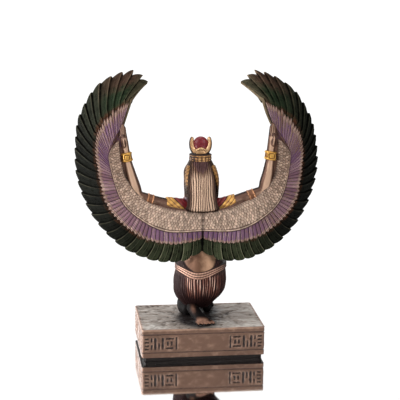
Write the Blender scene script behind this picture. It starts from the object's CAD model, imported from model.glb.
import bmesh
import bpy
import numpy as np
from mathutils import Matrix


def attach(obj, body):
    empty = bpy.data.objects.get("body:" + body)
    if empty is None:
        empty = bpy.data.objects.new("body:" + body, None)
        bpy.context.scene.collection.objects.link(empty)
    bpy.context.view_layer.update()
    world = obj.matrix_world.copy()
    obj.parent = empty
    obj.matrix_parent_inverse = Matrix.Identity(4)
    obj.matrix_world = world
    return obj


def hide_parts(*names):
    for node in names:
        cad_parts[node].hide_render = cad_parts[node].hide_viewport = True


# The painted finish and the carving of a small cast goddess with raised wings, on her plinth.
# Shapes are worked out in millimetres above the plinth's top and set down on it in metres.
# She faces -Y, so her left is +X, and the camera stands behind her.
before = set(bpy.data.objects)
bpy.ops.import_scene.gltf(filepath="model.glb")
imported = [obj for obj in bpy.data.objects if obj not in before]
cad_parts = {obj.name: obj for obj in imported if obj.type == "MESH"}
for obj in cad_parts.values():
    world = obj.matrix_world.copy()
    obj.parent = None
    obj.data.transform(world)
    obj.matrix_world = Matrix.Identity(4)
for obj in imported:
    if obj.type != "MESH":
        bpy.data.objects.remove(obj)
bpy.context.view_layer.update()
scene = bpy.context.scene
print("frame loaded:", ", ".join(sorted(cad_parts)))

metre = 0.001                  # one millimetre
plinthTop = 10.9               # height of the figure's own floor, mm

# Camera
view = {
    "azimuth": 172.27, "elevation": 11.44, "roll": 0.632,   # degrees
    "target": (-0.19, 0.0, 50.13), "distance": 374.3,       # mm
    "lens": 103.5, "clip": (0.01, 20.0),
}


def placed(name, data, right, up, back, spot):
    # A new object whose matrix holds its three axes and its place as columns
    made = bpy.data.objects.new(name, data)
    scene.collection.objects.link(made)
    matrix = np.eye(4)
    matrix[:3] = np.stack([right, up, back, spot], -1)
    made.matrix_world = Matrix(matrix.tolist())
    return made


def addCamera(v):
    # The way back to the camera is (sin a cos e, -cos a cos e, sin e) for azimuth a and elevation e.
    # Right lies along the floor and up is square to both, then both turn by the roll.
    azimuth, elevation, roll = np.radians([v["azimuth"], v["elevation"], v["roll"]])
    level = np.cos(elevation)
    back = np.array([np.sin(azimuth) * level, -np.cos(azimuth) * level, np.sin(elevation)])
    right = np.cross([0, 0, 1], back)
    right = right / np.linalg.norm(right)
    up = np.cross(back, right)
    across = right * np.cos(roll) + up * np.sin(roll)
    upward = up * np.cos(roll) - right * np.sin(roll)
    data = bpy.data.cameras.new("camera")
    data.lens = v["lens"]
    data.clip_start, data.clip_end = v["clip"]
    spot = (np.array(v["target"]) + back * v["distance"]) * metre
    scene.camera = placed("camera", data, across, upward, back, spot)


addCamera(view)
print("camera ready")


# Curves and rows of numbers
def smoothstep(value, low, high):
    # 0 up to low, 1 from high on, and t^2 (3 - 2t) of the share t between them
    t = np.clip((value - low) / (high - low), 0, 1)
    return t * t * (3 - 2 * t)


def within(value, a, b, c, d):
    # Rises from 0 to 1 between a and b, and falls back to 0 between c and d
    return smoothstep(value, a, b) * (1 - smoothstep(value, c, d))


def rounded(share):
    # A quarter of a circle: the root of 1 - (1 - share)^2, from 0 at share 0 to 1 at share 1
    return np.sqrt(1 - (1 - share) ** 2)


def scrambled(value, scale=43758.5453):
    # A number from 0 to 1 without visible order: what a large sine of the value has after its point
    large = np.sin(value) * scale
    return large - np.floor(large)


def circle(sides):
    # Angles once round, in one row
    return np.linspace(0, 2 * np.pi, sides, endpoint=False)[None, :]


def bump(value, width):
    # A bell, 1 in the middle, fallen to a third at width
    return np.exp(-(value / width) ** 2)


def unit(vectors):
    # Each vector divided by its own length
    return vectors / np.maximum(np.linalg.norm(vectors, axis=-1, keepdims=True), 1e-12)


def alongCurve(points, measured=None):
    # Catmull-Rom through the points with the ends doubled, read by share of its length.
    # Only the first `measured` columns count as length, the others ride along.
    points = np.asarray(points, float)
    padded = np.vstack([points[:1], points, points[-1:]])
    t = np.linspace(0, 1, 40, endpoint=False)[:, None]
    a, b, c, d = (padded[k:len(points) - 1 + k, None] for k in range(4))
    spans = b + 0.5 * t * ((c - a) + t * ((2 * a - 5 * b + 4 * c - d) + t * (3 * (b - c) + d - a)))
    table = np.vstack([spans.reshape(-1, points.shape[1]), points[-1:]])
    steps = np.linalg.norm(np.diff(table[:, :measured], axis=0), axis=1)
    length = np.r_[0, np.cumsum(steps)]

    def at(share):
        where = np.clip(share, 0, 1) * length[-1]
        return np.stack([np.interp(where, length, column) for column in table.T], -1)

    at.length = length[-1]
    return at


def smoothRows(rows):
    # Rows of [place, value ...] as smooth values: cubic between the rows, sloped as their neighbours say
    table = np.array(rows, float)
    knot, value = table[:, 0], table[:, 1:]
    slope = np.gradient(value, knot, axis=0)

    def at(where):
        where = np.clip(where, knot[0], knot[-1])
        i = np.clip(np.searchsorted(knot, where, side="right") - 1, 0, len(knot) - 2)
        width = (knot[i + 1] - knot[i])[..., None]
        t = (where - knot[i])[..., None] / width
        return ((1 + 2 * t) * (1 - t) ** 2 * value[i] + t * (1 - t) ** 2 * width * slope[i]
                + t * t * (3 - 2 * t) * value[i + 1] + t * t * (t - 1) * width * slope[i + 1])

    return at


# Shells: grids of points with masks, in millimetres
def shellOf(points, wrapRows=False, wrapColumns=False, **masks):
    # A grid of points joined by four-cornered faces, which may close on itself either way.
    # Each mask is one number a point, kept as an attribute that the materials read.
    rows, columns = points.shape[:2]
    r = np.arange(rows if wrapRows else rows - 1)
    c = np.arange(columns if wrapColumns else columns - 1)
    r, c = np.meshgrid(r, c, indexing="ij")
    nextR, nextC = (r + 1) % rows, (c + 1) % columns
    faces = np.stack([r * columns + c, r * columns + nextC, nextR * columns + nextC, nextR * columns + c], -1)
    return {
        "points": points.reshape(-1, 3).astype(float), "faces": faces.reshape(-1, 4),
        "masks": {k: np.broadcast_to(m, (rows, columns)).reshape(-1).astype(float) for k, m in masks.items()},
    }


def mirrored(shell):
    # The same shell on her other side: x changes sign, and each face's corners run the other way
    return {
        "points": shell["points"] * [-1, 1, 1], "faces": shell["faces"][:, ::-1],
        "masks": dict(shell["masks"]),
    }


def joined(shells):
    # Several shells in one: each one's faces count on from the points before them, and a mask it lacks is 0
    names = sorted({name for s in shells for name in s["masks"]})
    starts = np.cumsum([0] + [len(s["points"]) for s in shells])

    def maskOf(shell, name):
        return shell["masks"].get(name, np.zeros(len(shell["points"])))

    return {
        "points": np.vstack([s["points"] for s in shells]),
        "faces": np.vstack([s["faces"] + start for s, start in zip(shells, starts)]),
        "masks": {name: np.concatenate([maskOf(s, name) for s in shells]) for name in names},
    }


def capped(rings, low, high, masks):
    # Rings closed at both ends by a ring drawn into one point, where each mask repeats its neighbour
    ends = [np.broadcast_to(spot, (1, rings.shape[1], 3)) for spot in (low, high)]
    closed = {}
    for key, mask in masks.items():
        mask = np.broadcast_to(mask, rings.shape[:2])
        closed[key] = np.concatenate([mask[:1], mask, mask[-1:]])
    return shellOf(np.concatenate([ends[0], rings, ends[1]]), wrapColumns=True, **closed)


def bareMesh(name, shell, scale=1.0, lift=0.0):
    # A shell's points, lifted and then scaled, its faces and its masks, as a mesh
    mesh = bpy.data.meshes.new(name)
    points, faces = (shell["points"] + [0, 0, lift]) * scale, shell["faces"]
    mesh.vertices.add(len(points))
    mesh.vertices.foreach_set("co", points.astype(np.float32).ravel())
    mesh.loops.add(faces.size)
    mesh.loops.foreach_set("vertex_index", faces.astype(np.int32).ravel())
    mesh.polygons.add(len(faces))
    mesh.polygons.foreach_set("loop_start", np.arange(0, faces.size, faces.shape[1], dtype=np.int32))
    mesh.update(calc_edges=True)
    for key, values in shell["masks"].items():
        layer = mesh.attributes.new(key, "FLOAT", "POINT")
        layer.data.foreach_set("value", values.astype(np.float32))
    return mesh


def cleaned(mesh, merge, dissolve=None):
    # Points nearer than `merge` become one, slivers thinner than `dissolve` go, and faces turn outwards
    work = bmesh.new()
    work.from_mesh(mesh)
    bmesh.ops.remove_doubles(work, verts=work.verts, dist=merge)
    if dissolve:
        bmesh.ops.dissolve_degenerate(work, edges=work.edges, dist=dissolve)
    bmesh.ops.recalc_face_normals(work, faces=work.faces)
    work.to_mesh(mesh)
    work.free()


def addPiece(name, shell, material, replaced="winged_goddess", lift=plinthTop):
    # A shell as one finished piece in metres, set down `lift` mm above the ground
    mesh = bareMesh(name, shell, metre, lift)
    cleaned(mesh, 2e-6, 5e-7)
    mesh.polygons.foreach_set("use_smooth", np.ones(len(mesh.polygons), bool))
    mesh.materials.append(material)
    piece = bpy.data.objects.new(name, mesh)
    scene.collection.objects.link(piece)
    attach(piece, "root")
    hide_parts(replaced)
    print("made", name, "with", len(mesh.polygons), "faces")


def readOut(items, key, width, kind=np.float32):
    # One property of every item in a mesh's list, `width` numbers to a row
    values = np.empty(len(items) * width, kind)
    items.foreach_get(key, values)
    return values.reshape(-1, width)


def fused(shells, voxel, softening):
    # Closed shells rebuilt as one skin on a grid of `voxel` mm, then softened.
    # Gives the skin and the way outwards at each of its points.
    mesh = bareMesh("fusing", joined(shells))
    cleaned(mesh, 1e-3)
    holder = bpy.data.objects.new("fusing", mesh)
    scene.collection.objects.link(holder)
    remesh = holder.modifiers.new("rebuild", "REMESH")
    remesh.mode, remesh.voxel_size = "VOXEL", voxel
    smooth = holder.modifiers.new("soften", "SMOOTH")
    smooth.factor, smooth.iterations = 0.5, softening
    bpy.context.view_layer.update()
    shown = holder.evaluated_get(bpy.context.evaluated_depsgraph_get())
    made = bpy.data.meshes.new_from_object(shown)
    points = readOut(made.vertices, "co", 3).astype(float)
    normals = readOut(made.vertex_normals, "vector", 3).astype(float)
    faces = readOut(made.loops, "vertex_index", 1, np.int32).reshape(-1, 4)
    bpy.data.objects.remove(holder)
    bpy.data.meshes.remove(mesh)
    bpy.data.meshes.remove(made)
    return {"points": points, "faces": faces, "masks": {}}, normals


def pushed(skin, normals, height):
    # A skin's points moved out along their normals, by a height in mm at each
    skin["points"] = skin["points"] + normals * height[:, None]


def upright(rows, count, sides, y=0.0, relief=None, masks=None):
    # Rings one above another, each an ellipse with its own reach to back and front. A row is its height,
    # half width, reach back, reach front and the x of its middle; the rings lie evenly between the rows.
    # Angle 0 is the back, and relief(angle, z) in mm pushes the surface out.
    rows = [row if len(row) == 5 else (*row, 0.0) for row in rows]
    z = np.linspace(rows[0][0], rows[-1][0], count)
    half, back, front, middle = (v[:, None] for v in smoothRows(rows)(z).T)
    z = z[:, None]
    angle = circle(sides)
    out = relief(angle, z) if relief else 0.0
    reach = np.where(np.cos(angle) > 0, back, front)
    points = np.stack(np.broadcast_arrays(
        middle + (half + out) * np.sin(angle), y + (reach + out) * np.cos(angle), z), -1)
    low, high = ((middle[i, 0], y, z[i, 0]) for i in (0, -1))
    return capped(points, low, high, masks(angle, z) if masks else {})


def limb(rows, count=48, sides=32, across=(1, 0, 0), rounding=(0.8, 0.8), relief=None, masks=None):
    # An ellipse carried along a path of [x, y, z, half width, half depth], rounded off at both ends.
    # Its width lies as near to the way `across` as the path lets it.
    rows = [row if len(row) == 5 else (*row, row[3]) for row in rows]
    path = alongCurve(rows, 3)
    even = np.linspace(0, 1, count)
    share = 0.45 * even + 0.55 * (1 - np.cos(np.pi * even)) / 2
    table = path(share)
    centre, halfWidth, halfDepth = table[:, :3], table[:, 3], table[:, 4]
    tangent = unit(path(share + 4e-3)[:, :3] - path(share - 4e-3)[:, :3])
    across = np.asarray(across, float)
    wide = unit(across - tangent * (tangent @ across)[:, None])
    deep = np.cross(tangent, wide)
    fromEnds = np.stack([share, 1 - share]) * path.length / np.array(rounding)[:, None]
    taper = rounded(np.clip(fromEnds, 0, 1)).prod(0)
    angle = circle(sides)
    out = relief(share[:, None], angle) if relief else 0.0
    width, depth = ((h[:, None] + out) * taper[:, None] for h in (halfWidth, halfDepth))
    points = (centre[:, None] + wide[:, None] * (width * np.cos(angle))[..., None]
              + deep[:, None] * (depth * np.sin(angle))[..., None])
    return shellOf(points, wrapColumns=True, **(masks(share[:, None], angle) if masks else {}))


def ball(x, y, z, radii, count=28, sides=36):
    # Rings of an ellipsoid from its foot to its top
    rise = np.linspace(-np.pi / 2, np.pi / 2, count)[:, None]
    angle = circle(sides)
    points = np.stack(np.broadcast_arrays(
        np.cos(rise) * np.sin(angle), np.cos(rise) * np.cos(angle), np.sin(rise)), -1)
    return shellOf(points * radii + [x, y, z], wrapColumns=True)


def turned(profile, x, y, z, sides=120, relief=None, masks=None):
    # A profile of [radius, height] carried round an upright axis
    path = alongCurve(profile)
    radius, height = path(np.linspace(0, 1, 6 * len(profile)))[..., None].transpose(1, 0, 2)
    angle = circle(sides)
    radius = np.maximum(radius, 0) + (relief(angle, height) * (radius > 0.5) if relief else 0.0)
    points = np.stack(np.broadcast_arrays(
        x + radius * np.sin(angle), y + radius * np.cos(angle), z + height), -1)
    return shellOf(points, wrapColumns=True, **(masks(angle, height) if masks else {}))


# Shared shader groups
def shade(red, green, blue):
    # A colour as seen, 0 to 255, in the linear values that Blender keeps
    seen = np.array([red, green, blue]) / 255
    return (*np.where(seen <= 0.04045, seen / 12.92, ((seen + 0.055) / 1.055) ** 2.4).tolist(), 1.0)


def place(tree, kind, sockets=None, **settings):
    # A new shader node; a socket is given a value, or a link where the value is another node's socket
    made = tree.nodes.new(kind)
    for key, value in settings.items():
        setattr(made, key, value)
    for key, value in (sockets or {}).items():
        if isinstance(value, bpy.types.NodeSocket):
            tree.links.new(value, made.inputs[key])
        else:
            made.inputs[key].default_value = value
    return made


def sums(tree, operation, a, b=0.0, c=0.0, clamped=False):
    # One step of arithmetic on values or sockets
    step = place(tree, "ShaderNodeMath", {0: a, 1: b, 2: c}, operation=operation, use_clamp=clamped)
    return step.outputs[0]


def plus(tree, a, b, clamped=False):
    # a + b
    return sums(tree, "ADD", a, b, clamped=clamped)


def minus(tree, a, b):
    # a - b
    return sums(tree, "SUBTRACT", a, b)


def times(tree, a, b):
    # a times b
    return sums(tree, "MULTIPLY", a, b)


def timesPlus(tree, a, b, c):
    # a times b, plus c
    return sums(tree, "MULTIPLY_ADD", a, b, c)


def blended(tree, share, a, b, kind="MIX"):
    # Colour a at share 0, colour b at share 1
    node = place(tree, "ShaderNodeMix", {"Factor": share}, data_type="RGBA", blend_type=kind)
    for socket, value in ((node.inputs[6], a), (node.inputs[7], b)):
        if isinstance(value, bpy.types.NodeSocket):
            tree.links.new(value, socket)
        else:
            socket.default_value = value
    return node.outputs[2]


def ranged(tree, value, low, high, toLow=0.0, toHigh=1.0):
    # toLow up to low, toHigh from high on, and a soft S between them
    return place(tree, "ShaderNodeMapRange", {
        "Value": value, "From Min": low, "From Max": high, "To Min": toLow, "To Max": toHigh},
        interpolation_type="SMOOTHSTEP").outputs["Result"]


def attribute(tree, layer):
    # A mask of the piece, read at each of its points
    return place(tree, "ShaderNodeAttribute", attribute_name=layer).outputs["Fac"]


def newGroup(name, inputs, outputs):
    # An empty node group with named sockets, and the sockets themselves
    tree = bpy.data.node_groups.new(name, "ShaderNodeTree")
    for label, kind, value in inputs:
        tree.interface.new_socket(label, in_out="INPUT", socket_type=kind).default_value = value
    for label, kind in outputs:
        tree.interface.new_socket(label, in_out="OUTPUT", socket_type=kind)
    return tree, tree.nodes.new("NodeGroupInput").outputs, tree.nodes.new("NodeGroupOutput").inputs


def castFinish():
    # Cast bronze resin: dark patina in what is carved deep, bare metal on what stands proud,
    # and a coat of paint that has worn through in patches and along the crests
    real, tint = "NodeSocketFloat", "NodeSocketColor"
    tree, given, result = newGroup("castFinish", [
        ("Crest", tint, (0.6, 0.5, 0.4, 1)), ("Body", tint, (0.4, 0.3, 0.2, 1)),
        ("Recess", tint, (0.05, 0.03, 0.02, 1)), ("Paint", tint, (0.1, 0.1, 0.1, 1)),
        ("Cover", real, 0.0), ("Groove", real, 0.0), ("Proud", real, 0.0), ("Tone", real, 0.0),
        ("Brushed", real, 0.5), ("Grain", real, 900.0), ("Metal", real, 0.7), ("Gloss", real, 0.4),
    ], [("Color", tint), ("Metallic", real), ("Roughness", real), ("Height", real)])
    own = place(tree, "ShaderNodeTexCoord").outputs["Object"]

    def noise(scale, detail, roughness=0.5):
        return place(tree, "ShaderNodeTexNoise", {
            "Vector": own, "Scale": scale, "Detail": detail, "Roughness": roughness}).outputs["Fac"]

    mottle = noise(given["Grain"], 5.0, 0.62)
    broad = noise(times(tree, given["Grain"], 0.23), 3.0)
    fine = noise(times(tree, given["Grain"], 4.0), 2.0)
    uneven = times(tree, minus(tree, mottle, 0.5), 0.7)
    depth = ranged(tree, plus(tree, given["Groove"], uneven), 0.12, 0.85)
    worn = ranged(tree, plus(tree, minus(tree, given["Proud"], given["Groove"]), uneven), 0.25, 0.95)
    metal = blended(tree, worn, given["Body"], given["Crest"])
    patch = plus(tree, times(tree, broad, 0.9), times(tree, mottle, 0.5))
    level = minus(tree, patch, minus(tree, 1.2, given["Cover"]))
    painted = ranged(tree, minus(tree, level, times(tree, worn, 0.28)), -0.08, 0.14)
    coat = times(tree, painted, ranged(tree, given["Cover"], 0.0, 0.05))
    colour = blended(tree, coat, metal, given["Paint"])
    colour = blended(tree, depth, colour, given["Recess"])
    brushed = ranged(tree, timesPlus(tree, uneven, 0.9, given["Proud"]), 0.35, 1.0)
    colour = blended(tree, times(tree, brushed, given["Brushed"]), colour, given["Crest"])
    light = plus(tree, times(tree, given["Tone"], 0.3), timesPlus(tree, broad, 0.5, 0.75))
    lit = place(tree, "ShaderNodeCombineColor", {0: light, 1: light, 2: light}).outputs[0]
    tree.links.new(blended(tree, 1.0, colour, lit, "MULTIPLY"), result["Color"])
    bare = minus(tree, 1.0, sums(tree, "MAXIMUM", times(tree, coat, 0.75), times(tree, depth, 0.7)))
    tree.links.new(times(tree, given["Metal"], bare), result["Metallic"])
    rough = plus(tree, given["Gloss"], times(tree, depth, 0.25))
    rough = plus(tree, rough, times(tree, minus(tree, fine, 0.5), 0.25))
    tree.links.new(plus(tree, rough, times(tree, coat, 0.08), clamped=True), result["Roughness"])
    tree.links.new(timesPlus(tree, fine, 0.35, mottle), result["Height"])
    return tree


castFinishTree = castFinish()


def newMaterial(name, values, bumpDepth=0.00006, shine=None, wire=None):
    # One material on the shared finish; wire(tree, finish) may hang attributes or patterns on its inputs
    made = bpy.data.materials.new(name)
    made.use_nodes = True
    tree = made.node_tree
    tree.nodes.clear()
    finish = place(tree, "ShaderNodeGroup", node_tree=castFinishTree)
    for key, value in values.items():
        finish.inputs[key].default_value = value
    for socket, layer in (("Groove", "groove"), ("Proud", "proud"), ("Tone", "tone")):
        tree.links.new(attribute(tree, layer), finish.inputs[socket])
    height = finish.outputs["Height"]
    if wire:
        height = wire(tree, finish) or height
    relief = place(tree, "ShaderNodeBump", {"Height": height, "Distance": bumpDepth, "Strength": 1.0})
    shader = place(tree, "ShaderNodeBsdfPrincipled", {
        "Base Color": finish.outputs["Color"], "Metallic": finish.outputs["Metallic"],
        "Roughness": finish.outputs["Roughness"], "Normal": relief.outputs["Normal"], **(shine or {})})
    out = place(tree, "ShaderNodeOutputMaterial")
    tree.links.new(shader.outputs["BSDF"], out.inputs["Surface"])
    return made


print("finishes ready")

# The wings
wing = {
    "feathers": 28, "covertRibs": 2,
    "backFace": 9.0, "cupping": 4.6, "cupRadius": 33.0, "cupHeight": 40.6, "edgeForward": 15.0,
    "core": 1.3, "webHalf": 0.45, "covertHalf": 1.25, "flightHalf": 0.85, "tipHalf": 0.42,
    "featherRise": 0.5, "covertRise": 0.2, "scaleProud": 1.62, "scaleSize": (1.0, 0.84),
    "seamOverlap": 0.34, "covertReach": 1.04, "tierReach": 1.015, "liningReach": 0.95,
    # Her right wing against a mirror image: height, |x| of its inner and outer edge, how far each is drawn in
    "lean": [(24, 10, 26, 0, 0), (30, 12, 31, 0, -0.4), (36, 14, 35.5, 0, -0.6), (42, 19, 38.2, 0.5, -0.7),
             (48, 22, 39.5, 1.0, -0.6), (54, 23.6, 40, 1.65, -0.3), (59, 24.3, 39.8, 2.1, 0.2),
             (64, 25, 39, 2.65, 0.9), (70, 23.8, 36.6, 3.1, 1.5), (75, 20, 33.4, 2.9, 2.2),
             (77, 18, 31, 2.3, 2.8), (79, 17, 28.4, 1.6, 2.9), (81, 16, 21.5, 1.4, 2.6)],
    # its raised elbow: by how much, and |x| and height of the tier's edge and of the arm
    "elbowRise": 1.0,
    "liftFrom": ([0, 11, 19, 25.6], [30.9, 30.7, 34.2, 40.8]),
    "liftTo": ([0, 8, 15, 20.4, 22.6], [37.4, 38.2, 40.2, 42.6, 48]),
}


def leaned(points):
    # Her right wing leans towards her head and its elbow is held higher. x is drawn in by an amount that
    # changes evenly from the inner edge to the outer one, and z rises between the tier's edge and the arm.
    x, y, z = points.T
    side = np.abs(x)
    inner, outer, innerShift, outerShift = smoothRows(wing["lean"])(z).T
    part = np.clip((side - inner) / (outer - inner), -0.2, 1.1)
    inwards = (innerShift + (outerShift - innerShift) * part) * smoothstep(side, 3, 12)
    low, high = (np.interp(side, *wing[key]) for key in ("liftFrom", "liftTo"))
    near = within(side, 6, 15, 19, 24) * (1 - smoothstep(z, 44, 52))
    rise = wing["elbowRise"] * near * np.clip((z - low) / (high - low), 0, 1)
    return points + np.stack([inwards, 0 * x, rise], -1) * (x < 0)[:, None]


def bothSides(shell):
    # A shell of her left side with its mirror image, which leans as her right wing does
    other = mirrored(shell)
    other["points"] = leaned(other["points"])
    return joined([shell, other])


# The wing's lines in the plane of her back, as (x, height) on her left, from the middle to the top
flightTips = alongCurve([
    (0.3, 23.4), (3.2, 22.3), (6.6, 20.7), (15.9, 20.8), (26.2, 25.2), (34.7, 34.3), (39.5, 47.1),
    (39.4, 61.9), (37.4, 68.4), (33.4, 75.0), (28.4, 78.7), (21.5, 80.8), (17.9, 79.0), (16.4, 76.9)])
flightRoots = alongCurve([
    (0.3, 28.4), (3.6, 27.3), (10.7, 26.5), (20.5, 29.4), (29.8, 38.3), (33.1, 51.6), (33.5, 57.5),
    (32.9, 62.9), (31.3, 66.4), (28.6, 68.6), (26.1, 70.3), (22.9, 72.1)])
scaleEdge = alongCurve([
    (0.3, 30.9), (11, 30.7), (19, 34.2), (25.6, 40.8), (29.2, 52.9), (28.6, 57), (26.4, 59.8)])
covertInner = alongCurve([
    (0.3, 30.9), (11, 30.7), (19, 34.2), (25.6, 40.8), (29.2, 52.9), (28.6, 57.5), (27.2, 60.8), (26.0, 63.0),
    (25.2, 64.6)])
scaleInner = alongCurve([(0.3, 36.8), (10.8, 38.1), (18.7, 41.4), (23.8, 47.7), (25.6, 53.6), (26.2, 59.6)])
armLine = alongCurve([
    (0.3, 37.4), (8, 38.2), (15, 40.2), (20.4, 42.6), (22.6, 48), (23.8, 54.6), (24.7, 58.6), (25.3, 61.6),
    (25.0, 63.6)])
# Which share of the tier's edge a short feather starts from, by the share of the line it ends on:
# square to the edge below, and lengthwise up the hand at the top
covertStart = smoothRows([
    (0, 0), (0.149, 0.2), (0.297, 0.365), (0.477, 0.54), (0.6, 0.66), (0.68, 0.72), (0.76, 0.77),
    (0.82, 0.81), (0.87, 0.865), (0.931, 0.933), (1, 1)])


def cupAt(spot):
    # How far back the wing lies: it bows forwards by the square of the distance from the seam
    reach = np.hypot(spot[..., 0], np.maximum(0, spot[..., 1] - wing["cupHeight"]) * 0.5)
    return wing["backFace"] - wing["cupping"] * (reach / wing["cupRadius"]) ** 2


def onWing(spot):
    # A place (x, height) set back onto the wing's middle surface
    return np.stack([spot[..., 0], cupAt(spot) - wing["core"], spot[..., 1]], -1)


def rootShare(share):
    # A feather's root lies a little further along its line than its tip does, by a half wave
    return np.clip(share + 0.055 * np.sin(np.pi * np.clip(share, 0, 1)), 0, 1)


def spread(share):
    # Even along the tips, but the last few feathers at the top grow narrower
    return share + 4.5 * np.maximum(0, share - 0.7) ** 2 * (1 - share)


def flightPlace(share, reach):
    # A feather bends from its root over to its tip, and the outer ones come forward round the side
    tip, root = flightTips(share), flightRoots(rootShare(share))
    heading = unit(flightTips(share + 1e-3) - flightTips(share - 1e-3))
    length = np.linalg.norm(tip - root, axis=-1, keepdims=True)
    bend = (tip + root) / 2 - 0.1 * length * heading
    r = reach[..., None]
    spot = root * (1 - r) ** 2 + bend * 2 * r * (1 - r) + tip * r ** 2
    tipBack = wing["backFace"] - wing["edgeForward"] * smoothstep(share, 0.05, 0.55)
    drop = (cupAt(root) - tipBack) * np.maximum(0, reach) ** 1.15
    return np.stack([spot[..., 0], cupAt(root) - wing["core"] - drop, spot[..., 1]], -1)


def covertPlace(share, reach):
    # Below reach 0 this is the bare web from the arm, above it the short feathers
    end = rootShare(share)
    start = covertStart(end)[..., 0]
    edge, root, arm = covertInner(start), flightRoots(end), armLine(start)
    r = reach[..., None]
    return onWing(np.where(r < 0, edge + (edge - arm) * r, edge + (root - edge) * r))


def liningPlace(share, reach):
    # Straight across from the arm to the short feathers' inner line
    inner, outer = armLine(share), covertInner(share)
    return onWing(inner + (outer - inner) * reach[..., None])


def scalePlace(share, reach):
    # Straight across from the arm's lower side to the tier's outer edge
    inner, outer = scaleInner(share), scaleEdge(share)
    return onWing(inner + (outer - inner) * reach[..., None])


def sheetShell(middle, share, reach, thick, **masks):
    # A loop of rows round a curved sheet: thick says how far each point stands off the middle surface
    small = 2e-3
    spot = middle(share, reach)
    along = middle(share + small, reach) - middle(share - small, reach)
    outward = middle(share, reach + small) - middle(share, reach - small)
    normal = unit(np.cross(along, outward))
    normal = normal * np.where(normal[..., 1:2] < 0, -1, 1)
    points = spot + normal * thick[..., None]
    # the seam side closes flat a little past the middle, and the far end folds to its own middle
    points[:, 0] = spot[:, 0]
    points[:, :2, 0] -= wing["seamOverlap"]
    points[:, -1] = spot[:, -1]
    return shellOf(points, wrapRows=True, **masks)


def featherColumns(count, local):
    # Columns of every feather: its number, the place across it from 0 to 1, and the share along the wing
    local = np.asarray(local)
    number = np.repeat(np.arange(count), len(local))
    across = np.tile(local, count)
    number, across = np.r_[0, number, count - 1], np.r_[0.0, across, 1.0]
    return number[None, :], across[None, :], spread((number + across) / count)[None, :]


def thereAndBack(back):
    # Rows out over the wing's back and, by every second one, home over its front, with 1 or -1 for the side
    rows = np.vstack([back, back[-2:0:-2]])
    return rows, np.where(np.arange(len(rows)) < len(back), 1.0, -1.0)[:, None]


def flightFeathers():
    # Each feather is a shallow shingle: it rises across its width to a beaded edge, carries a shaft, and ends
    # in a lobe that is blunt below the body, shallow round the side and pointed at the top of the wing
    local = [0, .015, .05, .12, .22, .32, .41, .46, .5, .54, .59, .68, .77, .84, .89, .93, .965, .99]
    number, across, share = featherColumns(wing["feathers"], local)
    blend, last = smoothstep(share, 0.1, 0.42), smoothstep(number, 23.0, 26.0)
    apex = 0.5 + 0.3 * blend + 0.17 * smoothstep(number, 24.5, 26.0)
    power = 3.0 - 1.0 * blend - 0.5 * last
    notch = 0.62 - 0.1 * blend + 1.7 * last
    side = np.where(across < apex, (apex - across) / apex, (across - apex) / (1 - apex))
    tips, roots = (flightPlace(share, np.full_like(share, reach)) for reach in (1, 0))
    length = np.linalg.norm(tips - roots, axis=-1)
    end = 1 - notch / length * side ** power
    q = np.linspace(0, 1, 30)[:, None]
    back = -0.16 + 1.16 * (1 - (1 - q) ** 1.35)
    rows, facing = thereAndBack(back)
    reach = np.where(rows > 0, rows * end, rows * (1 + 1.3 * smoothstep(share, 0.75, 0.95)))
    fromTip = np.clip((1 - rows) / 0.09, 0, 1)
    outer = np.clip(rows, 0, 1)
    half = wing["flightHalf"] + (wing["tipHalf"] - wing["flightHalf"]) * outer
    rise = wing["featherRise"] * (across - 0.5) * (0.75 + 0.5 * outer)
    shaft = 0.15 * bump(across - 0.5, 0.04) * smoothstep(rows, -0.1, 0.1)
    shaft = shaft * (1 - 0.8 * smoothstep(rows, 0.75, 1.0))
    bead = 0.16 * bump(across - 0.925, 0.035)
    thick = facing * (half + rise + 0.1 * np.sin(np.pi * across) + shaft + bead) * rounded(fromTip)
    # the step down to the next feather stays inside the first and last hundredth of the width
    step = bump(across, 0.1 - 0.06 * smoothstep(share, 0.75, 0.9)) + bump(1 - across, 0.012)
    step = step + 0.45 * bump(np.abs(across - 0.5) - 0.1, 0.035)
    rimmed = bump(across - 0.925, 0.042) * (1 - 0.4 * smoothstep(rows, 0.7, 0.0) * blend)
    proud = np.clip(rimmed + 0.7 * bump(across - 0.5, 0.032) * (1 - 0.5 * blend) + 0.5 * (1 - fromTip), 0, 1)
    tone = 2 * scrambled(number * 12.9898) - 1
    along = reach * length
    return sheetShell(flightPlace, np.broadcast_to(share, reach.shape), reach, thick,
                      groove=np.clip(step * (1 - 0.5 * (1 - fromTip)), 0, 1), proud=proud, tone=tone,
                      across=(across - 0.5) * 3.6, along=along, station=share,
                      rooty=1 - smoothstep(along, 0.0, 0.9))


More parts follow.
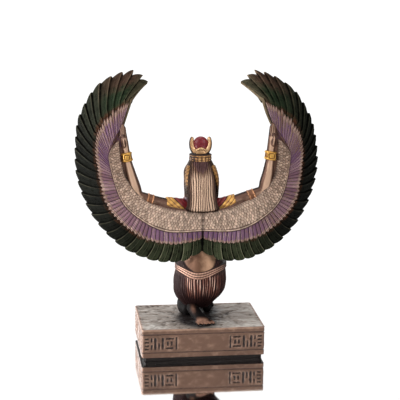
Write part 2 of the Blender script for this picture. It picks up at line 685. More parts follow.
def covertFeathers():
    # Two short feathers to each long one: three fine ribs, a dark line on both sides and a round end each.
    # Rows below 0 are the web from the arm, rows from 0 to the full reach the feathers themselves.
    lobes = wing["covertRibs"]
    columns = [0, 0.06, 0.16, 0.28, 0.4, 0.52, 0.64, 0.76, 0.88, 0.95]
    local = ((np.arange(lobes)[:, None] + columns) / lobes).ravel()
    number, across, share = featherColumns(wing["feathers"], local)
    inside = np.mod(across * lobes, 1.0)
    inside = np.where(across >= 1, 1.0, inside)
    seed = scrambled((number * lobes + np.floor(np.minimum(across, 0.999) * lobes)) * 78.233, 12543.123)
    rib = 0.5 - 0.5 * np.cos(2 * np.pi * inside * 3)
    edge, ragged = np.abs(2 * inside - 1), 0.07 + 0.2 * bump(share - 0.84, 0.09)
    q = np.linspace(0, 1, 21)[:, None]
    web = np.array([-1, -0.66, -0.4, -0.22, -0.12, -0.05])[:, None]
    full = wing["covertReach"]
    back = np.vstack([web, full * (1 - (1 - q) ** 1.5)])
    rows, facing = thereAndBack(back)
    reach = np.where(rows > 0, rows * (1.02 - 0.13 * edge ** 2.4 - ragged * seed), rows)
    base = wing["webHalf"] + (wing["covertHalf"] - wing["webHalf"]) * smoothstep(rows, -0.22, 0.0)
    fromTip = np.clip((full - rows) / 0.1, 0, 1)
    inner = np.clip((rows + 1) / 0.12, 0, 1)
    shown = smoothstep(rows, -0.05, 0.06)
    ends = smoothstep(edge, 0.8, 1.0)
    swell = wing["covertRise"] * (0.6 * rib - 0.3 + 0.8 * (1 - edge ** 2))
    relief = (swell - 0.22 * ends + 0.12 * seed - 0.1) * shown + 0.12 * (rib - 0.5) * (1 - shown)
    lip = wing["flightHalf"] - 0.12
    thick = facing * (lip + (base + relief - lip) * rounded(fromTip)) * rounded(inner)
    thick = thick * np.where(rows >= full, 0.2, 1)
    lines = 0.95 * ends + 0.4 * (1 - smoothstep(rib, 0.1, 0.6))
    groove = np.clip(lines * shown + 0.9 * bump(rows - 0.02, 0.03) + (0.5 - 0.35 * rib) * (rows < -0.1)
                     + 0.6 * (1 - fromTip), 0, 1)
    crests = smoothstep(rib, 0.45, 1.0) * (1 - ends) * (0.55 + 0.5 * seed)
    proud = np.clip(crests + 0.25 * bump(rows - 0.9, 0.07), 0, 1) * np.where(rows > 0, 1.0, 0.45)
    onWeb = 0.6 * smoothstep(share, 0.78, 0.86)
    plume = onWeb + (1 - onWeb) * smoothstep(rows, -0.02, 0.02)
    plume = plume * (1 - 0.8 * smoothstep(rows, 0.7, 0.95))
    return sheetShell(covertPlace, np.broadcast_to(share, reach.shape), reach, thick,
                      groove=groove, proud=proud, tone=0.6 * seed - 0.3, station=share,
                      along=4.0 * rows + 9.7 * seed, plume=plume)


def scalePattern(s, r):
    # Overlapping scales at s mm along the wing and r mm out from the arm, the one nearer the arm on top.
    # Each rises from its middle to its round free end, where d = (|ds|^2.4 + |dr|^2.4)^(1/2.4) is 1,
    # and leaves a dark line there.
    sizeS, sizeR = wing["scaleSize"]
    row = np.floor(r / sizeR)
    height, groove, tone = np.zeros_like(r), np.ones_like(r), np.zeros_like(r)
    taken, shadow = np.zeros(r.shape, bool), np.zeros_like(r)
    for behind in (2, 1, 0):
        line = row - behind
        offset = 0.5 * np.mod(line, 2) + 0.12 * np.sin(line * 2.4)
        column = np.floor(s / sizeS + offset)
        ds = (s / sizeS + offset - column - 0.5) / 0.54
        dr = (r / sizeR - line) / 1.6
        d = (np.abs(ds) ** 2.4 + np.abs(dr) ** 2.4) ** (1 / 2.4)
        here = (d < 1) & ~taken
        seed = scrambled(line * 12.9898 + column * 78.233)
        dome = 0.1 + (0.15 + 0.08 * seed) * dr - 0.06 * ds ** 2 - 0.4 * np.clip(d - 0.84, 0, 1)
        height = np.where(here, dome, height)
        groove = np.where(here, smoothstep(d, 0.8, 1.0) * 0.62 + 0.5 * shadow, groove)
        tone = np.where(here, 2 * seed - 1, tone)
        shadow = np.where(taken | here, shadow, np.maximum(shadow, 1 - smoothstep(d, 1.0, 1.16)))
        taken |= here
    return height, groove, tone


def liningShell():
    # The same scales on the wing's front, between the arm and the short feathers
    count, depth = 300, 32
    share = np.linspace(0, 1, count)[None, :]
    full = wing["liningReach"]
    rows = np.r_[np.linspace(0, full, depth), 0.7, 0.45, 0.2][:, None]
    reach = np.broadcast_to(rows, (len(rows), count))
    width = np.linalg.norm(covertInner(share) - armLine(share), axis=-1)
    height, groove, tone = scalePattern(share * covertInner.length + 0.1 * np.sin(share * 131), reach * width)
    edge = np.clip(np.minimum(reach / 0.05, (full - reach) / 0.03), 0, 1)
    far = np.clip((1 - share) / 0.02, 0, 1)
    thick = (wing["webHalf"] + height) * rounded(edge) * rounded(far)
    thick[depth:] = -0.15
    return sheetShell(liningPlace, np.broadcast_to(share, reach.shape), reach, -thick,
                      groove=np.clip(0.15 + groove, 0, 1), proud=np.clip(height * 3, 0, 1), tone=tone)


def scaleTier():
    # The scales on the wing's back, then a raised rim along the tier's outer edge, and a few rows under it
    count, depth = 450, 58
    share = np.linspace(0, 1, count)[None, :]
    q = np.linspace(0, 1, depth)[:, None]
    full = wing["tierReach"]
    back = full * (0.8 * q + 0.2 * (1 - np.cos(np.pi * q)) / 2)
    under = np.array([0.8, 0.5, 0.2])[:, None]
    rows = np.vstack([back, under])
    reach = np.broadcast_to(rows, (len(rows), count))
    width = np.linalg.norm(scaleEdge(share) - scaleInner(share), axis=-1)
    s = share * scaleEdge.length + 0.18 * np.sin(reach * 9 + share * 40) + 0.1 * np.sin(share * 131)
    height, groove, tone = scalePattern(s, reach * width + 0.12 * np.sin(share * 57 + reach * 5))
    inRim = smoothstep(reach, 0.885, 0.9)
    height = height * (1 - inRim) + (0.02 + 0.24 * bump(reach - 0.945, 0.03)) * inRim
    lines = bump(reach - 0.893, 0.012) + 1.2 * smoothstep(reach, 0.975, 0.995)
    groove = np.clip(groove * (1 - inRim) + inRim * 0.15 + 0.95 * lines, 0, 1)
    edge = np.clip(np.minimum(reach / 0.05, (full - reach) / 0.03), 0, 1)
    thick = np.maximum((wing["scaleProud"] - 0.22 + height) * rounded(edge), -0.1)
    thick[depth:] = -0.15
    thick = thick * rounded(np.clip((1 - share) / 0.02, 0, 1))
    groove = np.maximum(groove, np.maximum(bump(share, 0.005), 0.7 * bump(reach - 0.03, 0.03)))
    proud = np.clip(height * 3.2 + 0.12, 0, 1) * (1 - inRim) + inRim * bump(reach - 0.945, 0.035)
    upper = smoothstep(share, 0.3, 0.75)
    groove, proud = np.clip(groove + 0.16 * upper, 0, 1), proud * (1 - 0.25 * upper)
    return sheetShell(scalePlace, np.broadcast_to(share, reach.shape), reach, thick,
                      groove=groove, proud=proud, tone=tone)


def wireFlight(tree, finish):
    # Olive below the body, near black at the sides, brown at the upper tips with green beside them, and
    # rust where a feather leaves the short ones; fine barbs run out along each side of a shaft
    share, along = attribute(tree, "station"), attribute(tree, "along")
    clumps = place(tree, "ShaderNodeTexNoise", {"Scale": 520.0, "Detail": 3.0, "Vector": place(
        tree, "ShaderNodeTexCoord").outputs["Object"]}).outputs["Fac"]
    low = blended(tree, ranged(tree, share, 0.08, 0.34), shade(56, 61, 43), shade(13, 14, 9))
    high = blended(tree, ranged(tree, share, 0.6, 0.84), low, shade(32, 34, 24))
    ragged = timesPlus(tree, clumps, -7.0, plus(tree, along, 3.5))
    brown = blended(tree, ranged(tree, ragged, 5.5, 11.0), shade(38, 50, 33), shade(72, 54, 43))
    brown = blended(tree, ranged(tree, share, 0.95, 0.995), brown, shade(78, 74, 56))
    tips = blended(tree, ranged(tree, share, 0.8, 0.92), high, brown)
    rust = times(tree, attribute(tree, "rooty"), ranged(tree, clumps, 0.3, 0.7))
    rust = times(tree, rust, ranged(tree, share, 0.1, 0.2))
    tree.links.new(blended(tree, rust, tips, shade(86, 54, 38)), finish.inputs["Paint"])
    rims = blended(tree, ranged(tree, share, 0.1, 0.4), shade(176, 172, 140), shade(92, 88, 70))
    rims = blended(tree, ranged(tree, share, 0.74, 0.9), rims, shade(158, 134, 108))
    tree.links.new(rims, finish.inputs["Crest"])
    slant = plus(tree, along, sums(tree, "ABSOLUTE", attribute(tree, "across")))
    barbs = sums(tree, "SINE", times(tree, slant, 10.0))
    gaps = times(tree, attribute(tree, "groove"), ranged(tree, share, 0.7, 0.9, 1.0, 0.55))
    gaps = timesPlus(tree, ranged(tree, clumps, 0.42, 0.62, -0.15, 0.25), 1.0, gaps)
    dark = timesPlus(tree, barbs, 0.16, plus(tree, gaps, 0.08))
    tree.links.new(dark, finish.inputs["Groove"])
    return timesPlus(tree, barbs, 0.5, finish.outputs["Height"])


def wireCoverts(tree, finish):
    # Violet paint thins out towards the ends of the feathers, is mauve along the lower side and
    # mostly worn off at the top
    share = attribute(tree, "station")
    side = times(tree, ranged(tree, share, 0.12, 0.3), ranged(tree, share, 0.72, 0.55))
    tree.links.new(blended(tree, side, shade(112, 77, 110), shade(118, 82, 98)), finish.inputs["Paint"])
    lengthwise = place(tree, "ShaderNodeCombineXYZ", {0: times(tree, share, 260.0),
                                                      1: times(tree, attribute(tree, "along"), 0.55)})
    streaks = place(tree, "ShaderNodeTexNoise", {
        "Scale": 1.0, "Detail": 2.0, "Vector": lengthwise.outputs[0]}).outputs["Fac"]
    worn = ranged(tree, streaks, 0.35, 0.65, -0.3, 0.25)
    kept = plus(tree, ranged(tree, share, 0.62, 0.85, 0.78, 0.62), worn)
    tree.links.new(times(tree, attribute(tree, "plume"), kept), finish.inputs["Cover"])


flightMaterial = newMaterial("dark_green_feathers", dict(
    Crest=shade(130, 122, 98), Body=shade(36, 32, 23), Recess=shade(6, 6, 4), Cover=0.96, Brushed=0.4,
    Grain=700.0, Metal=0.05, Gloss=0.64), shine={"Specular IOR Level": 0.05}, wire=wireFlight)
covertMaterial = newMaterial("violet_over_bronze", dict(
    Crest=shade(214, 186, 172), Body=shade(126, 93, 78), Recess=shade(34, 18, 18), Brushed=0.6,
    Grain=620.0, Metal=0.3, Gloss=0.48), shine={"Specular IOR Level": 0.3}, wire=wireCoverts)
scaleMaterial = newMaterial("pale_bronze_scales", dict(
    Crest=shade(206, 180, 160), Body=shade(146, 117, 98), Recess=shade(62, 41, 32), Brushed=0.6, Grain=1100.0,
    Metal=0.45, Gloss=0.44))
liningMaterial = newMaterial("brown_bronze_lining", dict(
    Crest=shade(186, 156, 134), Body=shade(118, 90, 74), Recess=shade(44, 27, 22), Grain=1100.0,
    Metal=0.4, Gloss=0.46))


def edgeQuill():
    # The bare shaft along each wing's inner edge, from her fingers up to the last feather's tip
    below, above = np.linspace(-0.3, 0.85, 6), np.linspace(0.0, 0.97, 9)
    spots = np.vstack([covertPlace(np.ones(6), below), flightPlace(np.ones(9), above)])
    girth = np.interp(np.arange(15), [0, 5, 7, 14], [0.45, 0.7, 0.6, 0.3])
    masks = {"groove": 0.15, "proud": 0.85, "station": 1.0, "along": 9.0}
    rows = [(*spot - [0.15, 0, 0], g * 0.7, g) for spot, g in zip(spots, girth)]
    return limb(rows, 90, 20, rounding=(0.6, 0.5),
                masks=lambda s, a: {key: value + 0 * s * a for key, value in masks.items()})


for name, shell, material in (("flight_feathers", joined([flightFeathers(), edgeQuill()]), flightMaterial),
                              ("covert_feathers", covertFeathers(), covertMaterial),
                              ("scale_tier", scaleTier(), scaleMaterial),
                              ("wing_lining", liningShell(), liningMaterial)):
    addPiece(name, bothSides(shell), material)

# Arms, with their bands
arm = {
    "upper": [(5, 3.0, 36.6, 2.2), (8.5, 3.9, 37.9, 2.2), (14.5, 5.2, 39.9, 1.85), (19.6, 5.4, 41.6, 1.75),
              (21.6, 5.4, 42.6, 0.9)],
    "fore": [(20.1, 5.3, 41.3, 1.3), (21.3, 5.3, 44.6, 1.8), (22.7, 5.0, 49.2, 1.6), (23.9, 4.6, 54.2, 1.2),
             (24.2, 4.5, 57.2, 1.15)],
    "palm": [(24.1, 4.5, 56.2, 1.05, 1.1), (24.7, 4.8, 59.0, 0.9, 1.25), (25.0, 5.0, 61.6, 0.7, 1.05),
             (25.2, 5.1, 63.4, 0.55, 0.9), (25.4, 5.2, 65.0, 0.4, 0.6)],
    "fingers": [(24.5, 5.5, 3.4), (25.0, 5.75, 4.5), (25.5, 5.7, 4.3), (26.0, 5.35, 3.2)],   # x, y and length
    "thumb": [(24.7, 5.4, 57.6, 0.5), (25.1, 6.4, 60.0, 0.42), (25.3, 6.6, 61.8, 0.3)],
    "fingerRoot": 60.8, "fingerWidth": 0.5, "fingerGroove": 0.09, "grid": 0.205, "softening": 4,
    "bracelet": [(23.65, 4.72, 53.0), (24.15, 4.6, 55.9)],
    "armband": [(15.7, 5.32, 40.2), (17.9, 5.42, 40.95)],
}


def bandShell(start, end, radius, thickness=0.35):
    # A ring of metal round a limb, with a raised bead along both of its edges
    start, end = np.array(start, float), np.array(end, float)
    axis = unit(end - start)
    wide = unit(np.cross(axis, [0.2, 1, 0.1]))
    deep = np.cross(axis, wide)
    t, angle = np.linspace(0, 1, 22)[:, None], circle(96)
    ridge = bump(t - 0.14, 0.09) + bump(t - 0.86, 0.09)
    ends = np.sqrt(np.clip(np.sin(np.pi * t) * 4, 0, 1))
    out = radius + thickness * (0.45 + 0.6 * ridge) * ends + 0 * angle
    centre = start + (end - start) * t
    points = (centre[:, None] + wide * (out * np.cos(angle))[..., None]
              + deep * (out * np.sin(angle))[..., None])
    groove = 0.45 * np.clip(1 - 1.6 * ridge, 0, 1)
    return capped(points, start, end, {"groove": groove, "proud": 1 - groove})


def claspShell(x, y, z, half, height):
    # A square plate with a raised middle: rings of |cos|^5 + |sin|^5 = 1, drawn in along a profile
    angle = circle(64)
    square = (np.abs(np.cos(angle)) ** 5 + np.abs(np.sin(angle)) ** 5) ** -0.2
    profile = np.array([(0, -0.8), (1, -0.8), (1, 0.2), (0.96, 0.32), (0.8, 0.36), (0.72, 0.2), (0.62, 0.2),
                        (0.5, 0.42), (0.3, 0.5), (0, 0.52)])
    radius, rise = (profile[:, k][:, None] for k in (0, 1))
    points = np.stack(np.broadcast_arrays(x + half * radius * square * np.cos(angle), y + height * rise,
                                          z + half * radius * square * np.sin(angle)), -1)
    deep = np.isclose(rise, 0.2) & (radius < 0.9)
    return shellOf(points, wrapColumns=True, groove=np.where(deep, 0.5, 0.1),
                   proud=np.where(deep, 0.0, 0.9))


def worked(skin, normals, lit=(0.45, 0.95)):
    # Patina on a smooth body: what faces straight back or forward was rubbed bright, the rest stayed dark.
    # `lit` is the share |y| of the way outwards from which, and up to which, it brightens.
    facing = np.abs(normals[:, 1])
    skin["masks"] = {"groove": (1 - smoothstep(facing, lit[0] - 0.4, lit[1] - 0.15)) * 0.75,
                     "proud": smoothstep(facing, *lit)}
    return skin


back = (0, 1, 0)
armShells = [limb(arm["upper"], 60, 36, back), limb(arm["fore"], 60, 36, back),
             limb(arm["palm"], 40, 30, back, (0.5, 0.6))]
for x, y, length in arm["fingers"]:
    start = arm["fingerRoot"]
    armShells.append(limb([(x, y, start, 0.38), (x, y, start + length * 0.5, 0.36),
                           (x + 0.1, y * 0.8 + 1.2, start + length, 0.3)], 30, 16, back, (0.3, 0.4)))
armShells.append(limb(arm["thumb"], 24, 16, back, (0.4, 0.3)))
armSkin, armNormals = fused(armShells, arm["grid"], arm["softening"])
x, y, z = armSkin["points"].T
onFingers = smoothstep(z, 60.4, 61.4) * smoothstep(np.abs(armNormals[:, 1]), 0.2, 0.6)
split = onFingers * (0.5 - 0.5 * np.cos(2 * np.pi * (x - arm["fingers"][0][0]) / arm["fingerWidth"]))
pushed(armSkin, armNormals, -arm["fingerGroove"] * split)
armSkin = worked(armSkin, armNormals, (0.7, 1.0))
armSkin["masks"]["proud"] *= (1 - 0.6 * smoothstep(-x, -20.5, -18.5)) * (1 - split)
armSkin["masks"]["groove"] = np.clip(armSkin["masks"]["groove"] + 0.6 * split ** 2, 0, 1)
skinMaterial = newMaterial("brown_bronze_skin", dict(
    Crest=shade(206, 170, 144), Body=shade(104, 75, 62), Recess=shade(36, 21, 20), Brushed=0.45, Grain=500.0,
    Metal=0.45, Gloss=0.44), shine={"Specular IOR Level": 0.3})
goldMaterial = newMaterial("worn_gold", dict(
    Crest=shade(224, 172, 86), Body=shade(158, 106, 48), Recess=shade(54, 31, 15), Grain=900.0,
    Metal=0.7, Gloss=0.34))
copperMaterial = newMaterial("copper_band", dict(
    Crest=shade(192, 138, 100), Body=shade(136, 88, 62), Recess=shade(46, 26, 20), Grain=900.0,
    Metal=0.7, Gloss=0.36))

addPiece("arms", bothSides(armSkin), skinMaterial)
bracelet = joined([bandShell(*arm["bracelet"], 1.45), claspShell(24.0, 6.35, 54.55, 1.15, 0.9)])
addPiece("bracelets", bothSides(bracelet), goldMaterial)
armband = bandShell(*arm["armband"], 1.8, 0.32)
addPiece("armbands", bothSides(armband), copperMaterial)

# Torso, dress and belt
torso = {
    "rows": [(14.6, 7.8, 8.2, 5.6, -0.4), (17.0, 7.9, 8.1, 5.6, -0.45), (19.3, 6.9, 7.3, 4.6, -0.35),
             (21.6, 5.7, 6.6, 3.4, -0.2), (24, 4.8, 6.4, 2.7, 0), (28, 5.2, 6.6, 3.2, 0),
             (33, 6.4, 6.6, 3.9, 0), (37, 7.3, 6.2, 3.3, 0), (40.4, 3.2, 4.0, 2.3, 0),
             (43.5, 2.2, 3.0, 2.2, 0)],
    "chest": (2.9, -2.5, 31.6), "chestRadii": (2.3, 2.1, 2.2),
    "neckline": (0.5, 23.4, 5.9, 6.8),   # the bare back: middle x and z, half width, half height
    "grid": 0.31, "softening": 5,
}
chestX, chestY, chestZ = torso["chest"]
torsoShells = [upright(torso["rows"], 100, 110, 0.8)]
torsoShells += [ball(side * chestX, chestY, chestZ, torso["chestRadii"]) for side in (-1, 1)]
trunk, trunkNormals = fused(torsoShells, torso["grid"], torso["softening"])
x, y, z = trunk["points"].T
middle, level, across, tall = torso["neckline"]
bare = (np.abs((x - middle) / across) ** 2.2 + np.abs((z - level) / tall) ** 2.2) ** (1 / 2.2)
onBack = smoothstep(y, 0.5, 2.5)
dress = np.where(y > 1, smoothstep(bare, 0.985, 1.02), 1.0) * (z < 36)
pleats = np.sin(np.arctan2(x, y - 0.8) * 44)
pushed(trunk, trunkNormals, (0.25 + 0.05 * pleats) * dress)
trunk["masks"] = {
    "groove": np.clip(dress * (0.5 - 0.3 * pleats) + 1.2 * bump(bare - 0.99, 0.035) * onBack
                      + 0.3 * smoothstep(x, 0.0, 5.0) * onBack, 0, 1),
    "proud": (1 - dress * (0.85 - 0.2 * pleats)) * (0.75 - 0.55 * smoothstep(x, -3.0, 3.0) * onBack),
    "dress": dress,
}


def wireTorso(tree, finish):
    # Paint on the dress only
    tree.links.new(times(tree, attribute(tree, "dress"), 0.7), finish.inputs["Cover"])


torsoMaterial = newMaterial("smooth_bronze_back", dict(
    Crest=shade(196, 155, 124), Body=shade(112, 79, 60), Recess=shade(38, 20, 18), Paint=shade(74, 42, 36),
    Brushed=0.3, Grain=420.0, Metal=0.45, Gloss=0.46), shine={"Specular IOR Level": 0.3}, wire=wireTorso)
addPiece("torso", trunk, torsoMaterial)

skirt = {
    "hips": [(3.6, 4.0, 3.2, 3.2, 0.5), (6, 5.9, 5.7, 4.9, 0.4), (9, 8.0, 8.2, 6, -0.15),
             (12, 8.6, 9.2, 6, -0.3), (15.1, 8.4, 9.2, 5.7, -0.5), (17.1, 8.0, 8.9, 5.5, -0.6)],
    "lap": [(0, 1, 11.5, 6.4, 5.4), (-0.3, -4, 11.2, 6.0, 5.0), (-0.8, -8.4, 10.2, 4.8, 4.2),
            (-1, -10.4, 9.6, 3.2, 2.6)],
    "thighs": [[(3.8, 2, 11, 4.6), (3.6, -4, 8.6, 4.15), (3.2, -9.4, 5.2, 3.2), (3.2, -10.8, 4.2, 2.2)],
               [(-4.0, 1.4, 12.6, 4.9), (-4.9, -4, 15.4, 4.3), (-5.4, -9.2, 16.5, 3.3),
                (-5.5, -10.8, 16.2, 2.2)]],
    "pleats": 66, "pleatDepth": 0.15, "beltBase": 17.2, "beltDip": 2.3, "grid": 0.23, "softening": 4,
}


def beltLine(angle):
    # The belt's lower edge dips in a bell at the back, where angle is 0, and stays lower on her left
    dip = skirt["beltDip"] * np.exp(-(angle - 0.25) ** 2 / 0.45)
    return skirt["beltBase"] - dip - 0.5 * smoothstep(angle, 0.7, 1.5)


clothShells = [upright(skirt["hips"], 80, 110), limb(skirt["lap"], 50, 60, rounding=(1, 2))]
clothShells += [limb(rows, 50, 60, rounding=(1, 1.6)) for rows in skirt["thighs"]]
cloth, clothNormals = fused(clothShells, skirt["grid"], skirt["softening"])
x, y, z = cloth["points"].T
angle = np.arctan2(x + 0.3, y - 0.3)
crowding = 1.3 * np.sin(9 * angle + 1) + 0.8 * np.sin(23 * angle + 2) + 0.3 * np.sin(1.1 * z + 5 * angle)
wave = np.sin(angle * skirt["pleats"] + crowding)
wave = np.sign(wave) * np.abs(wave) ** 0.7
strength = 0.75 + 0.35 * np.sin(17 * angle + 0.7 * z) * np.sin(31 * angle + 2)
pleated = (1 - smoothstep(z, beltLine(angle) - 0.1, beltLine(angle) + 0.2)) * smoothstep(z, 2.6, 6.0)
pleated = np.where(y > -2, pleated, smoothstep(z, 2.6, 6.0))
pushed(cloth, clothNormals, skirt["pleatDepth"] * wave * pleated * strength)
under = 1 - smoothstep(z, 4.5, 12.5)
inShade = smoothstep(-x, 5.2, 6.6) * smoothstep(y, -4, 0)
cloth["masks"] = {
    "groove": np.clip((0.55 - 0.55 * wave) * pleated * (0.5 + 0.6 * strength) + 0.9 * under + 0.4 * inShade
                      + 0.9 * smoothstep(x, 3.5, 7.5), 0, 1),
    "proud": np.clip((0.4 + 0.6 * wave) * pleated * strength * (1 - under) * (1 - 0.8 * inShade)
                     * (1 - 0.6 * smoothstep(np.abs(x), 3, 7) * (y > 0)), 0, 1),
}
skirtMaterial = newMaterial("pleated_bronze_dress", dict(
    Crest=shade(224, 184, 166), Body=shade(118, 72, 60), Recess=shade(34, 13, 13), Brushed=0.55,
    Grain=420.0, Metal=0.5, Gloss=0.4), shine={"Specular IOR Level": 0.2})
addPiece("skirt", cloth, skirtMaterial)


def beltShell():
    # A band round the hips, its height a sum of three bells across it, with a dark line between them
    sides = 600
    t = np.linspace(0, 1, 26)[:, None]
    angle = np.linspace(-np.pi, np.pi, sides, endpoint=False)[None, :]
    z = beltLine(angle) + (1.75 + 0.55 * np.exp(-(angle - 0.2) ** 2 / 0.5)) * t
    half, behind, before, middle = np.moveaxis(smoothRows(skirt["hips"])(z), -1, 0)
    strip = bump(t - 0.16, 0.12) + bump(t - 0.5, 0.13) + bump(t - 0.84, 0.12)
    twist = 0.93 + 0.07 * np.cos(angle * 60 + 3 * t)
    out = (0.36 + 0.16 * strip * twist) * np.sqrt(np.clip(np.sin(np.pi * t) * 6, 0, 1))
    reach = np.where(np.cos(angle) > 0, behind, before)
    points = np.stack(np.broadcast_arrays(
        middle + (half + out) * np.sin(angle), (reach + out) * np.cos(angle), z), -1)
    inner = points - np.stack([np.sin(angle), np.cos(angle), 0 * angle], -1) * 0.6
    lines = 0.9 * (bump(t - 0.33, 0.05) + bump(t - 0.67, 0.05)) + bump(t, 0.05) + bump(t - 1, 0.05)
    ends = 0.45 * smoothstep(-angle, 0.8, 1.2) + 0.3 * smoothstep(angle, 1.1, 1.5)
    groove = np.clip(lines + 0.9 * (1 - twist) + ends, 0, 1)
    home = np.arange(len(t))[::-5]
    groove = np.concatenate([groove, groove[home]])
    return shellOf(np.concatenate([points, inner[home]]), wrapRows=True, wrapColumns=True,
                   groove=groove, proud=0.75 - 0.75 * groove)


beltMaterial = newMaterial("bronze_belt", dict(
    Crest=shade(192, 152, 130), Body=shade(134, 94, 77), Recess=shade(34, 18, 15), Brushed=0.2,
    Grain=800.0, Metal=0.45, Gloss=0.42))
addPiece("belt", beltShell(), beltMaterial)

# Legs and feet
legs = {
    "leftShin": [(3.2, -10.6, 2.6, 2.0), (3.4, -7.5, 2.6, 2.8), (3.9, -2, 2.5, 2.6), (3.3, 2.8, 3.1, 1.7)],
    "leftKnee": [(3.4, -6.5, 6.4, 2.9), (3.2, -10.0, 4.2, 2.5), (3.2, -10.8, 3.0, 2.2)],
    "rightKnee": [(-5.2, -8.0, 15.6, 3.0), (-5.5, -10.6, 16.0, 2.7), (-5.3, -10.5, 13.0, 2.3)],
    "rightShin": [(-5.5, -10.4, 16.6, 2.2), (-5.3, -10.2, 12.5, 2.5), (-4.6, -7.4, 6.6, 2.0),
                  (-3.8, -4.6, 1.6, 1.45)],
    "leftFoot": [(2.9, 2.6, 4.3, 1.4, 1.5), (2.5, 4.6, 3.9, 1.75, 1.9), (0.9, 8.1, 2.3, 1.9, 1.5),
                 (-0.8, 11.0, 1.0, 2.6, 0.8)],
    "rightFoot": [(-3.4, -2.6, 1.2, 1.0, 0.9), (-3.5, -4.4, 1.5, 1.5, 1.8), (-3.9, -7.6, 1.3, 1.8, 1.3),
                  (-4.3, -11.2, 0.6, 2.2, 0.65)],
    # toes: from the little toe's root to the big toe's, and the way they point
    "leftToes": [(2.2, 10.5, 0.75), (-3.2, 9.5, 0.75), (-0.35, 0.93, 0.0)],
    "rightToes": [(-6.4, -10.0, 0.62), (-2.1, -10.5, 0.62), (-0.1, -0.99, 0.0)],
    "limbs": ("leftShin", "leftKnee", "rightKnee", "rightShin", "leftFoot", "rightFoot"),
    "grid": 0.19, "softening": 2,
}


def toeShells(first, last, heading):
    # Five toes side by side, each a short limb with a knuckle, growing towards the big one
    first, last, heading = (np.array(v, float) for v in (first, last, heading))
    shells = []
    for share in np.linspace(0.06, 0.94, 5):
        root = first + (last - first) * share
        girth, length = 0.56 + 0.16 * share ** 3, 1.75 + 0.65 * share
        knuckle = root + heading * length * 0.45 + [0, 0, 0.15]
        tip = root + heading * length + [0, 0, girth - root[2] - 0.05]
        rows = [(*(root - heading * 1.2), girth), (*knuckle, girth * 0.92), (*tip, girth * 0.95)]
        shells.append(limb(rows, 26, 20, np.cross(heading, [0, 0, 1]), (0.5, 0.7)))
    return shells


legShells = [limb(legs[key], 50, 44) for key in legs["limbs"]]
legShells += toeShells(*legs["leftToes"]) + toeShells(*legs["rightToes"])
legSkin, legNormals = fused(legShells, legs["grid"], legs["softening"])
x, y, z = legSkin["points"].T
legSkin["points"][:, 2] = np.maximum(z, -0.05)
lit = smoothstep(y, 9.0, 11.0) * smoothstep(legNormals[:, 2] + 0.6 * legNormals[:, 1], 0.3, 0.95)
lit = lit + 0.85 * bump(np.hypot(x - 2.6, (z - 4.6) * 0.7), 1.2) * smoothstep(y, 3, 4)
front = smoothstep(-y, 5.0, 10.0) * smoothstep(-legNormals[:, 1], 0.2, 0.9)
between = np.clip(-legNormals[:, 2], 0, 1) + smoothstep(-legNormals[:, 1], 0.3, 0.8) * (y > 0)
legSkin["masks"] = {
    "groove": np.clip(0.95 - 0.75 * lit - 0.6 * front + 0.5 * between, 0, 1),
    "proud": np.clip(lit * 0.75 + front * 0.6, 0, 1),
}
legMaterial = newMaterial("dark_bronze_legs", dict(
    Crest=shade(176, 134, 112), Body=shade(72, 47, 38), Recess=shade(10, 6, 6), Brushed=0.4, Grain=500.0,
    Metal=0.3, Gloss=0.45), shine={"Specular IOR Level": 0.12})
addPiece("legs", legSkin, legMaterial)

# Collar
collar = {
    "drape": [(0, 2.9, 3.0, 2.6, 41.4), (0.5, 6.4, 5.0, 4.7, 39.6), (1, 9.4, 6.2, 5.4, 37.6)],
    "frontFall": 5.0, "thickness": 0.9,
    "ends": [(3.6, 2.5, 36.4, 2.8, 3.3), (7.2, 3.4, 37.5, 2.65, 3.1), (12.1, 4.7, 39.2, 2.3)],
    "redEdge": 5.2, "slant": 1.03, "row": 1.45, "grid": 0.21, "softening": 4,
}


def capeShell():
    # Rings from the neck out over the shoulders and back underneath, falling low on the chest
    out = np.r_[np.linspace(0, 1, 40), np.linspace(1, 0, 16)][:, None]
    below = np.r_[np.zeros(40), np.full(16, collar["thickness"])][:, None]
    half, behind, before, height = (v[:, None] for v in smoothRows(collar["drape"])(out[:, 0]).T)
    angle = circle(150)
    fall = collar["frontFall"] * np.maximum(0, -np.cos(angle)) * out
    reach = np.where(np.cos(angle) > 0, behind, before)
    points = np.stack(np.broadcast_arrays(
        half * np.sin(angle), 0.6 + reach * np.cos(angle), height - fall - below), -1)
    return shellOf(points, wrapRows=True, wrapColumns=True)


sleeve = limb(collar["ends"], 50, 48, back, (1.0, 0.5))
cape, capeNormals = fused([capeShell(), sleeve, mirrored(sleeve)], collar["grid"], collar["softening"])
x, y, z = cape["points"].T
# the rows run square to the shoulder behind, and round the neck in front
behindRow = np.abs(x) - collar["slant"] * (z - 37.4)
beforeRow = np.hypot(x, (y - 0.6) * 0.9) * 0.9 + 0.45 * (41 - z) - 1.5
slanted = beforeRow + (behindRow - beforeRow) * smoothstep(y, 0.0, 2.0)
ring = np.mod(slanted - collar["redEdge"], collar["row"]) / collar["row"]
pushed(cape, capeNormals, 0.14 * np.sin(np.pi * ring))
edges = np.clip(bump(ring, 0.13) + bump(ring - 1, 0.13), 0, 1)
bead = 0.5 + 0.5 * np.sin(np.where(y > 1, z + y, np.arctan2(x, -y) * slanted) * 5.2)
gilt = smoothstep(slanted, collar["redEdge"] - 0.1, collar["redEdge"] + 0.1)
cape["masks"] = {
    "groove": np.clip(edges * (0.6 - 0.1 * gilt) + 0.2 * (1 - bead) * gilt
                      + 0.9 * bump(slanted - collar["redEdge"], 0.14), 0, 1),
    "proud": (1 - 0.7 * edges) * (0.5 + 0.5 * bead), "band": slanted,
}
cape["points"] = leaned(cape["points"])


